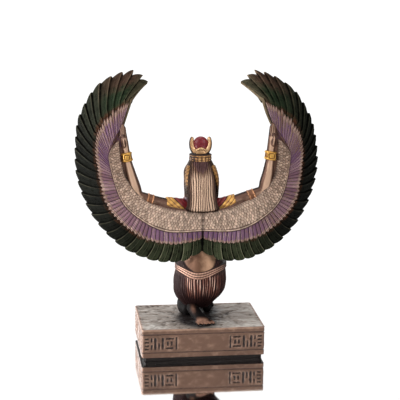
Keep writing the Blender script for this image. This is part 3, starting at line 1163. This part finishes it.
def wireCollar(tree, finish):
    # Deep red near the neck and gold towards the shoulders, with a dark green row at the neck
    band = attribute(tree, "band")
    edge = collar["redEdge"]
    inner = blended(tree, ranged(tree, band, 2.3, 2.6), shade(84, 30, 56), shade(122, 24, 36))
    red = blended(tree, ranged(tree, band, 1.2, 1.4), shade(46, 62, 58), inner)
    tree.links.new(blended(tree, ranged(tree, band, edge - 0.1, edge + 0.1), red, shade(184, 128, 62)),
                   finish.inputs["Paint"])
    tree.links.new(ranged(tree, band, edge - 0.1, edge + 0.1, 0.04, 0.75), finish.inputs["Brushed"])
    tree.links.new(ranged(tree, band, edge - 0.1, edge + 0.1, 1.15, 0.8), finish.inputs["Cover"])


collarMaterial = newMaterial("painted_collar", dict(
    Crest=shade(228, 176, 92), Body=shade(150, 98, 50), Recess=shade(44, 20, 18), Cover=0.9, Grain=500.0,
    Metal=0.55, Gloss=0.34), wire=wireCollar)
addPiece("collar", cape, collarMaterial)

# Head: face, wig, cap and crown
headX = -0.45   # everything above the neck leans a little to her right
face = {
    "rows": [(41.2, 1.1, 1, 2.9, headX), (42.2, 2.2, 2.4, 3.5, headX), (44, 3.1, 3.6, 3.9, headX),
             (46.6, 3.6, 4.4, 4.1, headX), (49, 3.6, 4.4, 4.0, headX), (51.5, 2.0, 2.4, 2.0, headX)],
    "eyeHeight": 46.75, "eyeSide": 1.4, "mouth": 43.75, "chin": 42.4, "depth": -1.0,
}


def faceRelief(x, z):
    # Sums of bells in the plane of the face: brows, sockets, lids, nose, lips, cheeks and chin
    side = np.abs(x)
    eyeX, eyeZ = side - face["eyeSide"], z - face["eyeHeight"]
    lid = np.hypot(eyeX / 0.72, (eyeZ + 0.06 * np.cos(eyeX * 2)) / 0.3)
    ridge = np.interp(z, [44.5, 44.8, 45.15, 46.4, 47.5, 48.1], [0, 0.85, 1.0, 0.6, 0.28, 0.0])
    thick = np.interp(z, [44.7, 45.2, 46.6, 47.6], [0.62, 0.5, 0.34, 0.42])
    out = ridge * np.exp(-(x / thick) ** 2) + 0.3 * bump(side - 0.52, 0.26) * bump(z - 45.0, 0.27)
    out += -0.42 * bump(eyeX, 0.85) * bump(eyeZ, 0.55) + 0.3 * bump(lid, 0.85) + 0.1 * bump(lid - 1.05, 0.16)
    out += 0.2 * bump(z - 47.75 - 0.12 * np.cos(eyeX * 1.6), 0.2) * within(side, 0.2, 0.6, 2.3, 2.9)
    mouthZ = z - face["mouth"] - 0.05 * (x / 0.9) ** 2
    out += 0.3 * bump(x, 0.95) * bump(mouthZ - 0.2, 0.17) + 0.34 * bump(x, 0.8) * bump(mouthZ + 0.24, 0.19)
    out += -0.2 * bump(x, 1.0) * bump(mouthZ, 0.06) - 0.12 * bump(x, 0.8) * bump(mouthZ + 0.62, 0.18)
    out += 0.34 * bump(x, 0.95) * bump(z - face["chin"], 0.5)
    out += 0.2 * bump(side - 1.95, 0.9) * bump(z - 45.3, 0.9)
    return out, lid


def faceShell():
    # Rings up the skull, crowded towards the front, where the relief is added and the eyes are lined
    rows, sides = 130, 196
    z = np.linspace(face["rows"][0][0], face["rows"][-1][0], rows)
    half, behind, before, middle = (v[:, None] for v in smoothRows(face["rows"])(z).T)
    z = z[:, None]
    t = np.linspace(-1, 1, sides, endpoint=False)[None, :]
    angle = np.pi + np.pi * (0.5 * t + 0.5 * t ** 3)
    x = half * np.sin(angle)
    inFront = smoothstep(-np.cos(angle), 0.0, 0.5)
    out, lid = faceRelief(x, z)
    reach = np.where(np.cos(angle) > 0, behind, before)
    points = np.stack(np.broadcast_arrays(
        middle + x, face["depth"] + reach * np.cos(angle) - out * inFront, z), -1)
    low, high = ((middle[i, 0], face["depth"], z[i, 0]) for i in (0, -1))
    side = np.abs(x)
    eyeX = side - face["eyeSide"]
    tail = bump(z - 46.72, 0.12) * within(side, 2.0, 2.2, 2.7, 2.9)
    brow = bump(z - 47.85 - 0.12 * np.cos(eyeX * 1.6), 0.13) * within(side, 0.5, 0.7, 2.4, 2.6)
    pupil = bump(np.hypot(eyeX, z - face["eyeHeight"]), 0.24)
    liner = np.clip(bump(lid - 1.1, 0.22) + tail + brow + pupil, 0, 1) * inFront
    mouthLine = 0.7 * bump(z - face["mouth"] - 0.05 * (x / 0.9) ** 2, 0.06) * bump(x, 1.0) * inFront
    groove, proud = np.clip(liner + mouthLine, 0, 1), np.clip(out * inFront * 0.9 + 0.3, 0, 1)
    return capped(points, low, high, {"groove": groove, "proud": proud})


addPiece("face", faceShell(), skinMaterial)

wig = {
    "cap": [(38.6, 5.2, 6.0, 1.2, -0.7), (42, 5.55, 5.8, 1.9, -0.66), (46, 5.55, 5.2, 2.8, -0.5),
            (50, 4.9, 4.2, 3.5, -0.18), (52, 3.5, 3.2, 3.0, -0.18)],
    "fall": [(0, 5.5, 37.0, 9.7), (0.1, 5.0, 38.6, 9.4), (0.25, 4.5, 41, 8.6), (0.55, 4.35, 45, 7.3),
             (0.85, 3.8, 49, 5.6), (1, 3.0, 51.6, 3.7)],
    "strands": 17, "strandDepth": 0.26, "capStrands": 44, "lappetStrands": 14,
}


def strandWave(across, depth):
    # Round strands with narrow grooves between them: |sin| to the power 0.6, one strand to each whole number
    wave = np.abs(np.sin(np.pi * across))
    return depth * (wave ** 0.6 - 0.6), 1 - smoothstep(wave, 0.15, 0.7)


def fallShell():
    # The hair down her back: a thick sheet, bowed by the square of the way out, whose strands run from the
    # crown to its free end and sway by a few small sines
    columns, rows = 257, 64
    t = np.linspace(0, 1, columns)[None, :]
    r = np.linspace(0, 1, rows)
    half, z, y = (v[:, None] for v in smoothRows(wig["fall"])(r).T)
    r = r[:, None]
    out = 2 * t - 1
    z = z + 0.7 * out ** 6 * (1 - smoothstep(r, 0, 0.2))
    middle = np.stack(np.broadcast_arrays(half * out, y - 1.4 - (0.9 + 1.1 * r) * out ** 2, z), -1)
    normal = unit(np.cross(np.gradient(middle, axis=1), np.gradient(middle, axis=0)))
    normal = normal * np.where(normal[..., 1:2] < 0, -1, 1)
    sway = 0.1 * np.sin(r * 7 + t * 6) + 0.06 * np.sin(r * 17 + t * 23) + 0.4 * np.sin(t * 13)
    relief, deep = strandWave(t * wig["strands"] + sway, wig["strandDepth"])
    fine, fineDeep = strandWave(t * wig["strands"] * 3 + sway * 2, 0.06)
    edge = np.sqrt(np.clip(1 - np.abs(out) ** 7, 0, 1)) * np.sqrt(np.clip(r / 0.02, 0, 1))
    front = middle + normal * ((1.25 + relief + fine) * edge)[..., None]
    rear = middle - normal * (1.2 * edge)[..., None]
    violet = smoothstep(z + 0.3 * np.cos(t * 40), 46.6 + 7 * out ** 2, 49.2 + 7 * out ** 2)
    sides = smoothstep(np.abs(out), 0.5, 0.9)
    groove = np.clip(deep * 0.9 + 0.3 * fineDeep + 0.8 * bump(r, 0.012) + 0.6 * sides
                     + 0.2 * smoothstep(z, 47.5, 51) + 0.15 * violet, 0, 1)
    proud = (1 - deep) * (1 - 0.8 * sides) * (1 - 0.6 * smoothstep(z, 46, 50.5)) * (1 - 0.3 * violet)
    proud = np.clip(proud, 0, 1)
    masks = {"groove": groove, "proud": proud, "violet": np.broadcast_to(violet, groove.shape),
             "ochre": sides * smoothstep(z, 41.5, 45)}
    home = np.r_[rows - 1:0:-4, 0]
    points = np.concatenate([front, rear[home]])
    return shellOf(points, wrapRows=True, **{k: np.concatenate([m, m[home]]) for k, m in masks.items()})


def strandsRound(angle, count, depth):
    # The same strands round a whole turn
    return strandWave(angle / (2 * np.pi) * count, depth)


def capRelief(angle, z):
    # Upright strands all round the hair
    return strandsRound(angle, wig["capStrands"], 0.2)[0]


def capMasks(angle, z):
    # Dark between the strands, and dull all over
    deep = strandsRound(angle, wig["capStrands"], 0.2)[1] + 0 * z
    return {"groove": np.clip(deep * 0.85 + 0.55, 0, 1), "proud": 0.25 * (1 - deep)}


def lappetShell(side):
    # A lock of hair on her chest: a limb with strands along it and fine ridges across its end
    rows = [(headX + side * 4.0, -1.8, 45, 1.2, 1.6), (headX + side * 3.7, -3.4, 40, 1.3, 1.1),
            (side * 3.4, -5.3, 34.6, 1.4, 0.9)]

    def relief(share, angle):
        wave = strandsRound(angle, wig["lappetStrands"], 0.16)[0]
        return wave + 0.08 * np.sin(share * 90) * (share > 0.8)

    def masks(share, angle):
        deep = strandsRound(angle, wig["lappetStrands"], 0.16)[1] + 0 * share
        return {"groove": np.clip(deep * 0.85 + 0.15, 0, 1), "proud": 0.7 - 0.7 * deep}

    return limb(rows, 60, 112, rounding=(0.5, 0.4), relief=relief, masks=masks)


def wireWig(tree, finish):
    # A dull violet patch under the crown, and ochre where the cap's wings lie over the hair
    violet, ochre = attribute(tree, "violet"), attribute(tree, "ochre")
    tree.links.new(blended(tree, violet, shade(138, 100, 50), shade(112, 78, 78)), finish.inputs["Paint"])
    tree.links.new(plus(tree, times(tree, violet, 0.85), times(tree, ochre, 0.5)), finish.inputs["Cover"])


wigMaterial = newMaterial("bronze_strands", dict(
    Crest=shade(202, 170, 145), Body=shade(124, 91, 73), Recess=shade(42, 25, 20), Brushed=0.6, Grain=600.0,
    Metal=0.35, Gloss=0.46), shine={"Specular IOR Level": 0.25}, wire=wireWig)
hairCap = upright(wig["cap"], 40, 308, -0.4, capRelief, capMasks)
addPiece("wig", joined([fallShell(), hairCap, lappetShell(-1), lappetShell(1)]), wigMaterial)

crown = {
    "x": -0.18, "y": -0.2, "bandBase": 51.7,
    "discHeight": 57.7, "discRadius": 2.45, "discDepth": 1.4, "discBack": 0.3,
    "capRibs": 26, "bandArches": 9,
    # the band's profile: radius and height above its base
    "band": [(0, 0), (3.4, 0), (3.55, 0.1), (3.6, 0.5), (3.48, 0.62), (3.6, 1.4), (3.48, 2.1), (3.64, 2.25),
             (3.66, 2.6), (3.45, 2.7), (3.1, 2.62), (0, 2.6)],
    # one horn: out from the middle, height, half width and half depth
    "horn": [(0.6, 54.8, 1.0, 1.4), (1.7, 55.2, 1.1, 1.3), (2.55, 56.3, 1.0, 1.1), (2.95, 57.9, 0.8, 0.9),
             (2.8, 59.3, 0.66, 0.7), (2.6, 60.0, 0.52, 0.5)],
    # the stem under the horns, and the raised line over it as (x, y) from the middle, height and half width
    "stem": [(54.1, 3.3, 1.7, 1.7), (55.2, 2.7, 1.6, 1.5), (56.6, 1.7, 1.2, 1.0)],
    "trim": [(-1.7, 1.3, 55.7, 0.26), (-0.5, 1.75, 56.3, 0.36), (0.5, 1.75, 56.3, 0.36),
             (1.7, 1.3, 55.7, 0.26)],
}


def featherRows(s, a):
    # Overlapping rows along a folded wing: each rises evenly to its free edge, with a dark line there
    row = s * 11 + 1.1 * np.abs(np.cos(a)) + 0.2 * np.sin(a * 9)
    ring = row - np.floor(row)
    return 0.1 * ring, np.clip(bump(ring, 0.2) + bump(ring - 1, 0.1), 0, 1) * 0.5


def vultureWing(side):
    # A flat folded wing over the wig, a limb of overlapping rows that grow darker towards its tip
    wide = 1.15 - 0.2 * side
    rows = [(-0.2 + side * 3.6, 0.9, 51.0, 1.6 * wide, 0.95),
            (-0.45 + side * 4.5, 1.3, 47.4, 2.9 * wide, 0.9),
            (-0.6 + side * 4.75, 0.9, 43.2, 2.3 * wide, 0.6), (-0.7 + side * 4.7, 0.6, 40.0, wide, 0.35)]

    def masks(share, angle):
        dark = featherRows(share, angle)[1]
        return {"groove": np.clip(dark + 0.5 * smoothstep(share, 0.45, 0.9), 0, 1),
                "proud": (1 - dark) * (1 - smoothstep(share, 0.4, 0.8))}

    return limb(rows, 76, 36, back, relief=lambda s, a: featherRows(s, a)[0], masks=masks)


def capFeathers(angle, z):
    # Small feathers as the product of two sines, round the head and up it
    return np.sin(angle * crown["capRibs"]) * np.sin(z * 7)


vultureCap = upright(
    [(48.4, 5.05, 4.3, 3.5, -0.3), (49.6, 4.9, 4.55, 3.85, -0.25), (52.4, 3.6, 3.6, 3.3, -0.18)],
    30, 160, -0.3, lambda a, z: 0.06 * capFeathers(a, z),
    lambda a, z: {"groove": np.clip(0.5 - 0.5 * capFeathers(a, z), 0, 1), "proud": 0.4 + 0 * a * z})
cobra = limb([(headX, -4.0, 48.8, 0.5), (headX, -4.9, 50.2, 0.65, 0.4), (headX, -4.6, 51.8, 0.35)], 30, 20,
             masks=lambda s, a: {"groove": 0.3 + 0.2 * np.sin(s * 60) + 0 * a, "proud": 0.8 + 0 * s * a})
ochreMaterial = newMaterial("ochre_bronze", dict(
    Crest=shade(156, 112, 62), Body=shade(74, 51, 34), Recess=shade(32, 21, 16), Brushed=0.3, Grain=500.0,
    Metal=0.35, Gloss=0.45), shine={"Specular IOR Level": 0.25})
addPiece("vulture_cap", joined([vultureCap, vultureWing(-1), vultureWing(1), cobra]), ochreMaterial)


def bandPanel(angle, height):
    # The carved part between the band's two beads, and its row of upright arches
    return within(height, 0.6, 0.8, 1.95, 2.1), np.abs(np.sin(angle * crown["bandArches"]))


def bandRelief(angle, height):
    # The arches stand out by 0.08 mm
    panel, arch = bandPanel(angle, height)
    return 0.08 * arch * panel


def bandMasks(angle, height):
    # Dark between the arches, beside the beads and on the flat top; worn bright behind, less so on her left
    panel, arch = bandPanel(angle, height)
    arch = arch * (0.6 + 0.4 * np.sin(height * 9))
    behind = smoothstep(np.cos(angle), 0.1, 0.7) * (1 - 0.8 * smoothstep(np.sin(angle), 0.25, 0.6))
    lines = 0.9 * bump(height - 2.68, 0.15) + 0.8 * (bump(height - 0.58, 0.09) + bump(height - 2.15, 0.09))
    groove = np.clip(0.75 - arch, 0, 1) * panel + lines + 0.45 * (1 - behind) + (height > 2.61)
    return {"groove": np.clip(groove, 0, 1), "proud": arch * behind * 0.9}


crownBand = turned(crown["band"], crown["x"], crown["y"], crown["bandBase"], 126, bandRelief, bandMasks)
bandMaterial = newMaterial("worn_gold_band", dict(
    Crest=shade(244, 198, 136), Body=shade(188, 134, 80), Recess=shade(52, 30, 20), Brushed=0.7, Grain=900.0,
    Metal=0.5, Gloss=0.4))
addPiece("crown_band", crownBand, bandMaterial)


def hornShell(side):
    # A horn that curves out and up beside the disc, dark on its outer side and at its root
    rows = [(crown["x"] + side * out, crown["y"], *rest) for out, *rest in crown["horn"]]

    def masks(share, angle):
        outside = np.clip(side * np.cos(angle), 0, 1)
        return {"groove": np.clip(0.1 + 0.9 * smoothstep(outside, 0.4, 0.8) + 0.5 * bump(share, 0.12), 0, 1),
                "proud": np.clip(0.9 - outside + 0 * share, 0, 1)}

    return limb(rows, 52, 28, (1, 0, 0), (0.5, 0.6), masks=masks)


def stemMasks(angle, z):
    # Bright above its foot, and only behind and in front
    bright = smoothstep(z, 54.3, 54.9) * smoothstep(np.abs(np.cos(angle)), 0.7, 0.9)
    return {"groove": np.clip(1.1 - bright, 0, 1), "proud": 0.7 * bright}


stem = upright([(*row, crown["x"]) for row in crown["stem"]], 30, 80, crown["y"], masks=stemMasks)
trim = limb([(crown["x"] + x, crown["y"] + y, z, girth) for x, y, z, girth in crown["trim"]], 40, 18, back,
            (0.3, 0.3), masks=lambda s, a: {"groove": 0.1 + 0 * s * a, "proud": 0.9 + 0 * s * a})
hornMaterial = newMaterial("pale_gold_horns", dict(
    Crest=shade(230, 188, 140), Body=shade(176, 126, 80), Recess=shade(30, 16, 12), Grain=800.0, Metal=0.5,
    Gloss=0.36))
addPiece("horns", joined([hornShell(-1), hornShell(1), stem, trim]), hornMaterial)
discMaterial = newMaterial("red_lacquer_disc", dict(
    Crest=shade(150, 30, 48), Body=shade(120, 12, 28), Recess=shade(60, 6, 14), Paint=shade(118, 12, 28),
    Cover=1.0, Brushed=0.0, Grain=500.0, Metal=0.2, Gloss=0.38),
    bumpDepth=0.00002, shine={"Coat Weight": 0.25, "Coat Roughness": 0.25})
discRadii = (crown["discRadius"], crown["discDepth"], crown["discRadius"])
disc = ball(crown["x"], crown["y"] + crown["discBack"], crown["discHeight"], discRadii, 44, 64)
addPiece("sun_disc", disc, discMaterial)

# Plinth
plinth = {
    "half": (20.0, 14.0), "height": 10.9, "foot": 1.5, "footInset": 1.3, "corner": 0.9, "edge": 0.3,
    "grooves": (3.17, 9.17), "strokeDepth": 0.34, "middle": 6.17,
    # a face's steps along it: how many, and which share of them crosses the bare middle, how wide that is
    "steps": {"long": (150, 0.36, 0.46), "short": (112, 0.2, 0.35)}, "cornerSteps": 7,
    "sideRows": 46, "topRings": 36, "topReach": 0.985,   # how near the last ring comes to the top's middle
    "stains": [(0.5, 8.5, 3.4, 4.2), (3.2, 1.5, 4.2, 7.5), (-4.2, -7.0, 3.2, 5.2), (-1.0, 3.0, 5.4, 5.0)],
    # strokes of one group: from and to along the face, then from and to up it, mm from the group's middle
    "strokes": [(-4.9, -4.4, -2.1, 2.1), (-3.8, -1.2, 1.3, 1.85), (-3.8, -1.2, -1.85, -1.3),
                (-3.4, -2.8, -0.7, 0.7), (-2.2, -1.6, -0.7, 0.7), (-0.6, 0.1, -2.0, 2.0),
                (0.7, 1.2, -2.0, 0.3), (1.8, 2.5, -2.0, 2.0), (3.1, 3.6, -2.0, -0.3),
                (3.1, 3.6, 0.6, 2.0), (4.2, 5.6, 1.4, 1.9), (4.2, 5.6, 0.25, 0.75),
                (4.2, 5.6, -0.9, -0.4), (4.2, 5.6, -2.0, -1.5)],
    "groups": {"long": 13.4, "short": 7.6},   # a group's middle, along a long and a short face
}


def strokeDepthAt(along, up, isLong, soft=0.13):
    # Groups of short straight cuts at both ends of each face; the middle of each face stays bare.
    # A cut is the product of two ranges, along and up, whose ends are `soft` mm wide.
    deep = np.zeros_like(up)
    wobble = 0.06 * np.sin(along * 5.3 + up * 3.1)
    for end in (-1, 1):
        for kind, group in plinth["groups"].items():
            for x0, x1, z0, z1 in plinth["strokes"]:
                a, b = sorted((end * (group + x0), end * (group + x1)))
                inX = within(along + wobble, a - soft, a + soft, b - soft, b + soft)
                inZ = within(up + wobble, z0 - soft, z0 + soft, z1 - soft, z1 + soft)
                deep = np.maximum(deep, inX * inZ * (isLong == (kind == "long")))
    return deep


def noiseAt(x, y, z, period, seed):
    # Smooth random heights, -1 to 1: random numbers at the corners of a lattice, blended between them
    askew = [[0.36, 0.48, -0.8], [-0.8, 0.6, 0.0], [0.48, 0.64, 0.6]]
    spot = np.stack(np.broadcast_arrays(x, y, z), -1) @ askew / period + seed
    corner = np.floor(spot)
    part = spot - corner
    part = part * part * (3 - 2 * part)
    total = 0.0
    for dx, dy, dz in np.ndindex(2, 2, 2):
        number = (corner + [dx, dy, dz]) @ [12.9898, 78.233, 37.719]
        share = np.where([dx, dy, dz], part, 1 - part).prod(-1)
        total = total + share * (2 * scrambled(number) - 1)
    return total


def stoneHeight(x, y):
    # Worn stone: layers of noise drawn out along her left and right, with pits where the middle layer is low
    low = noiseAt(x / 1.6, y, 0.0, 4.2, 3.1)
    streak = noiseAt(x / 2.2 + 0.6 * low, y + 0.4 * low, 0.0, 0.95, 7.7)
    fine = noiseAt(x / 1.5, y, 0.0, 0.42, 1.9)
    pit = smoothstep(-streak - 0.25 * low - 0.6 * fine, 0.25, 1.25)
    height = 0.16 * low + 0.14 * streak + 0.1 * fine - 0.22 * pit - 0.12
    return height, np.clip(0.75 * pit + 0.35 * smoothstep(-fine, 0.0, 0.8) - 0.1 * low, 0, 1)


def footStain(x, y):
    # Dark patina gathered where the feet and legs meet the plinth: a sum of bells
    total = sum(bump(x - a, c) * bump(y - b, d) for a, b, c, d in plinth["stains"])
    return np.clip(total * 1.4, 0, 1)


def crowded(count, few, bare):
    # From -1 to 1, with only the share `few` of the steps in the bare middle, as wide as the share `bare`
    return np.interp(np.linspace(-1, 1, count), [-1, -few, few, 1], [-1, -bare, bare, 1])


def plinthOutline():
    # A rounded rectangle walked once round, with the way outwards at each point
    halfX, halfY = plinth["half"]
    corner = plinth["corner"]
    inner = np.array([halfX, halfY]) - corner
    runX = crowded(*plinth["steps"]["long"])[1:-1] * inner[0]
    runY = crowded(*plinth["steps"]["short"])[1:-1] * inner[1]
    turn = np.linspace(0, np.pi / 2, plinth["cornerSteps"])
    sides = [(runX, -halfY), (halfX, runY), (-runX, halfY), (-halfX, -runY)]
    parts = []
    for k, corners in enumerate([(1, -1), (1, 1), (-1, 1), (-1, -1)]):
        angle = turn + (k - 1) * np.pi / 2
        parts.append(np.stack(np.broadcast_arrays(*sides[k]), -1))
        parts.append(corners * inner + corner * np.stack([np.cos(angle), np.sin(angle)], -1))
    outline = np.vstack(parts)
    outward = unit(np.sign(outline) * np.maximum(0, np.abs(outline) - inner))
    return outline, outward


def plinthShell():
    # The outline carried up a profile: foot, underside, side, edge, and the top drawn in to its middle
    halfX, halfY = plinth["half"]
    top, foot, inset, edge = plinth["height"], plinth["foot"], plinth["footInset"], plinth["edge"]
    outline, outward = plinthOutline()
    bend = np.linspace(0, np.pi / 2, 6)[1:]
    rows = [(1, inset, 0.0), (1, inset, 0.6), (1, inset, foot), (1, 0.5, foot), (1, 0.12, foot + 0.02)]
    rows += [(1, 0.0, h) for h in np.linspace(foot + 0.12, top - edge, plinth["sideRows"])]
    rows += [(1, edge * (1 - np.cos(b)), top - edge * (1 - np.sin(b))) for b in bend]
    drawn = np.linspace(0, 1, plinth["topRings"])[1:] ** 0.9 * plinth["topReach"]
    rows += [(k, edge, top) for k in 1 - drawn]
    shrink, inward, z = (np.array(rows)[:, k][:, None] for k in range(3))
    flat = (outline[None] - outward[None] * inward[..., None]) * shrink[..., None]
    x, y = flat[..., 0], flat[..., 1]
    z = np.broadcast_to(z, x.shape).copy()
    isSide = (z > foot + 0.05) & (z < top - edge + 0.01) & (shrink > 0.999)
    onLong = np.abs(outline[:, 1]) > halfY - 0.01
    along = np.where(onLong, -outline[:, 0] * np.sign(outline[:, 1]), outline[:, 1] * np.sign(outline[:, 0]))
    onFlat = onLong | (np.abs(outline[:, 0]) > halfX - 0.01)
    along, onLong, onFlat = (np.broadcast_to(v, x.shape) for v in (along, onLong, onFlat))
    carved = strokeDepthAt(along, z - plinth["middle"], onLong) * onFlat
    for level in plinth["grooves"]:
        carved = np.maximum(carved, bump(z - level, 0.16))
    carved = carved * isSide
    lip = strokeDepthAt(along, z - plinth["middle"], onLong, 0.5) * onFlat * isSide * (1 - carved)
    rough = noiseAt(x / 1.8, y / 1.8, z, 1.1, 5.3) + 0.7 * noiseAt(x / 1.3, y / 1.3, z, 0.45, 2.2)
    sunk = (plinth["strokeDepth"] * carved + 0.1 + 0.06 * rough) * isSide
    points = np.stack([x - outward[None, :, 0] * sunk, y - outward[None, :, 1] * sunk, z], -1)
    stone, pits = stoneHeight(x, y)
    onTop = np.broadcast_to(shrink < 0.9999, x.shape)
    margin = np.clip((1 - np.maximum(np.abs(x) / halfX, np.abs(y) / halfY)) / 0.03, 0, 1)
    points[..., 2] += np.where(onTop, stone * margin, 0)
    groove = np.where(onTop, pits * 0.85, carved * 0.82 + 0.2 * np.clip(rough, 0, 2) * isSide)
    isFoot = z < foot + 0.04
    groove = np.where(isFoot, 2.0, groove)
    rim = bump(z - top + edge, 0.25) * ~onTop
    onSide = np.clip(0.36 + 0.9 * lip - carved - 0.1 * rough + 0.5 * rim, 0, 1) * ~isFoot
    proud = np.where(onTop, np.clip(0.75 + stone * 2.5 - pits, 0, 1), onSide)
    masks = {"groove": groove, "proud": proud, "top": onTop * 1.0, "stain": footStain(x, y) * onTop,
             "tone": -1.0 * isFoot}
    return capped(points, (0, 0, 0), (0, 0, points[-1, :, 2].mean()), masks)


def wirePlinth(tree, finish):
    # The top is a worn grey stone colour, nearly black round the feet
    top, stain = attribute(tree, "top"), attribute(tree, "stain")
    tree.links.new(blended(tree, stain, shade(148, 136, 126), shade(34, 26, 25)), finish.inputs["Paint"])
    tree.links.new(times(tree, top, 0.9), finish.inputs["Cover"])
    bright = timesPlus(tree, top, 0.15, 0.5)
    tree.links.new(timesPlus(tree, stain, -0.65, bright), finish.inputs["Brushed"])
    tree.links.new(blended(tree, top, shade(176, 142, 120), shade(206, 200, 192)), finish.inputs["Crest"])


plinthMaterial = newMaterial("plinth_bronze", dict(
    Body=shade(118, 88, 72), Recess=shade(38, 25, 21), Grain=420.0, Metal=0.35, Gloss=0.46),
    bumpDepth=0.00009, shine={"Coat Weight": 0.2, "Coat Roughness": 0.3}, wire=wirePlinth)
addPiece("plinth_block", plinthShell(), plinthMaterial, "plinth", 0.0)


# Floor, world and lights
studio = {
    "floorSize": 8.0, "floorColour": 0.93, "floorMirror": 1.0, "floorRoughness": 0.05,
    "white": 1.15, "ambient": 0.3, "backdropSpread": (0.82, 0.9),   # cosines from the way the camera looks
    "aim": (0, 0, 0.05),   # metres, where every light looks
    "lights": [("softLeft", (0.48, 0.36, 0.34), 0.30, 2.2), ("softRight", (-0.40, 0.48, 0.34), 0.26, 1.0),
               ("rimLeft", (0.55, -0.1, 0.06), 0.3, 5.4),
               ("softTop", (0.0, 0.05, 0.75), 0.45, 1.8), ("softFront", (0.25, -0.6, 0.35), 0.4, 1.2)],
}


def addFloor():
    # A pale glossy sheet, big enough to run out of the picture
    mesh = bpy.data.meshes.new("floor")
    size = studio["floorSize"]
    corners = [(x * size, y * size, 0) for x, y in ((-1, -1), (1, -1), (1, 1), (-1, 1))]
    mesh.from_pydata(corners, [], [(0, 1, 2, 3)])
    floor = bpy.data.objects.new("floor", mesh)
    scene.collection.objects.link(floor)
    material = bpy.data.materials.new("pale_floor")
    material.use_nodes = True
    shader = material.node_tree.nodes["Principled BSDF"]
    shader.inputs["Base Color"].default_value = (*[studio["floorColour"]] * 3, 1)
    shader.inputs["Metallic"].default_value = studio["floorMirror"]
    shader.inputs["Roughness"].default_value = studio["floorRoughness"]
    mesh.materials.append(material)


def addLight(name, spot, size, power):
    # A square light at a spot in metres, turned towards the aim
    data = bpy.data.lights.new(name, "AREA")
    data.shape, data.size, data.energy = "SQUARE", size, power
    back = unit(np.array(spot, float) - studio["aim"])
    right = unit(np.cross([0, 0, 1], back))
    placed(name, data, right, np.cross(back, right), back, spot)


def setWorld():
    # White where the camera sees it and behind the figure, dim all round
    world = bpy.data.worlds.new("studio")
    world.use_nodes = True
    tree = world.node_tree
    way = place(tree, "ShaderNodeTexCoord").outputs["Generated"]
    ahead = place(tree, "ShaderNodeVectorMath", {0: way, 1: (0.0, -1.0, 0.0)}, operation="DOT_PRODUCT")
    backdrop = ranged(tree, ahead.outputs["Value"], *studio["backdropSpread"])
    seen = place(tree, "ShaderNodeLightPath").outputs["Is Camera Ray"]
    share = sums(tree, "MAXIMUM", backdrop, seen)
    strength = timesPlus(tree, share, studio["white"] - studio["ambient"], studio["ambient"])
    tree.links.new(strength, tree.nodes["Background"].inputs["Strength"])
    tree.nodes["Background"].inputs["Color"].default_value = (1, 1, 1, 1)
    scene.world = world


addFloor()
setWorld()
for light in studio["lights"]:
    addLight(*light)
scene.view_settings.view_transform = "Standard"
print("stage ready")
